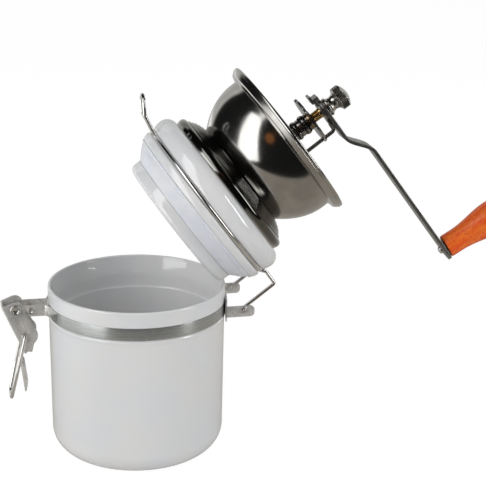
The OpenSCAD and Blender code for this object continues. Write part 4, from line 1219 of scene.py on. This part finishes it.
def floor():
    """A pale table: white with a soft shadow to the camera, and beige where the metal mirrors it."""
    mesh = table_mesh(half=4.0, n=16)
    obj = new_object("table", mesh)
    # A hair under the foot, so that the two flat faces don't lie in one plane
    obj.location.z = -0.0002
    mat, tree, shader = material("pale_table")
    ray = put(tree, "ShaderNodeLightPath")
    place = own_place(tree)
    part = put(tree, "ShaderNodeSeparateXYZ", {"Vector": place})
    shade = mix(tree, noise(tree, place, 6.0, 3.0), (0.80, 0.80, 0.80), (0.84, 0.84, 0.84))
    tree.links.new(shade, shader.inputs["Base Color"])
    shader.inputs["Roughness"].default_value = 0.8
    shader.inputs["Specular IOR Level"].default_value = 0.0
    # To the camera it is white where it is lit, and a little darker in the part's shadow
    white = put(tree, "ShaderNodeEmission", {"Color": WHITE, "Strength": 0.93})
    shaded = put(tree, "ShaderNodeBsdfDiffuse", {"Color": (0.16, 0.16, 0.16, 1)})
    to_camera = put(tree, "ShaderNodeAddShader", {0: white.outputs[0], 1: shaded.outputs[0]})
    back = ramp(tree, part.outputs["Y"], -0.05, 0.5)
    beige = mix(tree, back, (0.36, 0.33, 0.285), (0.60, 0.60, 0.59))
    # The table is brightest beside the softbox
    near_box = mix(tree, ramp(tree, part.outputs["X"], -0.12, -0.5), beige, (1.5, 1.5, 1.48))
    mirrored = put(tree, "ShaderNodeEmission", {"Color": near_box, "Strength": 1.0})
    # In a mirror the table ends on the camera's side, and the dark room shows past it
    gone = put(tree, "ShaderNodeBsdfTransparent")
    on = ramp(tree, part.outputs["Y"], -0.27, -0.24)
    in_mirrors = mix_shader(tree, on, gone, mirrored)
    glow = put(tree, "ShaderNodeEmission", {"Color": WHITE, "Strength": 0.02})
    plain = put(tree, "ShaderNodeAddShader", {0: shader.outputs[0], 1: glow.outputs[0]})
    light = mix_shader(tree, ray.outputs["Is Glossy Ray"], plain, in_mirrors)
    seen = mix_shader(tree, ray.outputs["Is Camera Ray"], light, to_camera)
    tree.links.new(seen.outputs[0], tree.nodes["Material Output"].inputs["Surface"])
    mesh.materials.append(mat)
    obj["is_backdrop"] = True


def lamp(name, centre, size, radiance, aim, mirrored=False, diffuse=True):
    """A soft upright or tilted panel facing its aim. Its own glow is radiance."""
    data = bpy.data.lights.new(name, "AREA")
    data.shape = "RECTANGLE"
    data.size, data.size_y = size
    data.energy = radiance * math.pi * size[0] * size[1]
    obj = new_object(name, data)
    obj.location = centre
    obj.rotation_mode = "QUATERNION"
    obj.rotation_quaternion = (Vector(centre) - Vector(aim)).to_track_quat("Z", "Y")
    obj.visible_glossy = mirrored
    obj.visible_camera = False
    obj.visible_diffuse = diffuse


def lamps():
    """A softbox on the left, a weak fill in front and a bright strip on the right."""
    height, turn = 0.695, math.radians(-116.5)
    softbox = (math.sin(turn), math.cos(turn), height)
    # Metal mirrors a narrower panel than the one that lights the part
    lamp("left_softbox_mirrored", softbox, (0.63, 1.67), 2.6, (0, 0, height), mirrored=True, diffuse=False)
    lamp("left_softbox", softbox, (0.9, 1.67), 1.9, (-0.1, 0, height))
    lamp("front_fill", (-0.45, -1.3, 0.9), (1.0, 1.0), 0.35, (0, 0, 0.1))
    lamp("right_strip", (1.13, -0.71, 0.5), (0.3, 1.0), 6.4, (0, 0, 0.1), mirrored=True)


def camera():
    """The photograph's view, fitted to the outlines of the canister, the lid and the bowl. The middle
    of the picture lies across and above from the point at aim_z on the canister's axis."""
    azimuth, elevation, roll = math.radians(-12.765), math.radians(17.937), math.radians(1.081)
    distance, across, above, aim_z, lens = 0.7728, 0.06068, 0.05819, 0.060, 99.75
    back = Vector((math.sin(azimuth) * math.cos(elevation), -math.cos(azimuth) * math.cos(elevation),
                   math.sin(elevation)))
    right = Vector((math.cos(azimuth), math.sin(azimuth), 0))
    up = back.cross(right)
    right, up = (right * math.cos(roll) + up * math.sin(roll), up * math.cos(roll) - right * math.sin(roll))
    data = bpy.data.cameras.new("photo_view")
    data.lens, data.sensor_width = lens, 36.0
    data.clip_start, data.clip_end = 0.01, 50
    obj = new_object("photo_view", data)
    turn = Matrix((right, up, back)).transposed().to_4x4()
    obj.matrix_world = Matrix.Translation(
        Vector((0, 0, aim_z)) + right * across + up * above + back * distance) @ turn
    bpy.context.scene.camera = obj


camera()
studio()
floor()
lamps()
bpy.context.scene.view_settings.view_transform = "Standard"

canister()
neck_band()
hinge_bracket()
latch_bracket()
neck_rivets()
latch_lever()
latch_loop()
lid()
gasket()
lid_wire()
collar()
hopper_bowl()
bearing_boss()
adjusting_disc()
threaded_shaft()
stopper_plate()
crank_arm()
thumb_nut()
spring_washer()
knob()
knob_pin()
knob_washer()
wear(finishes())
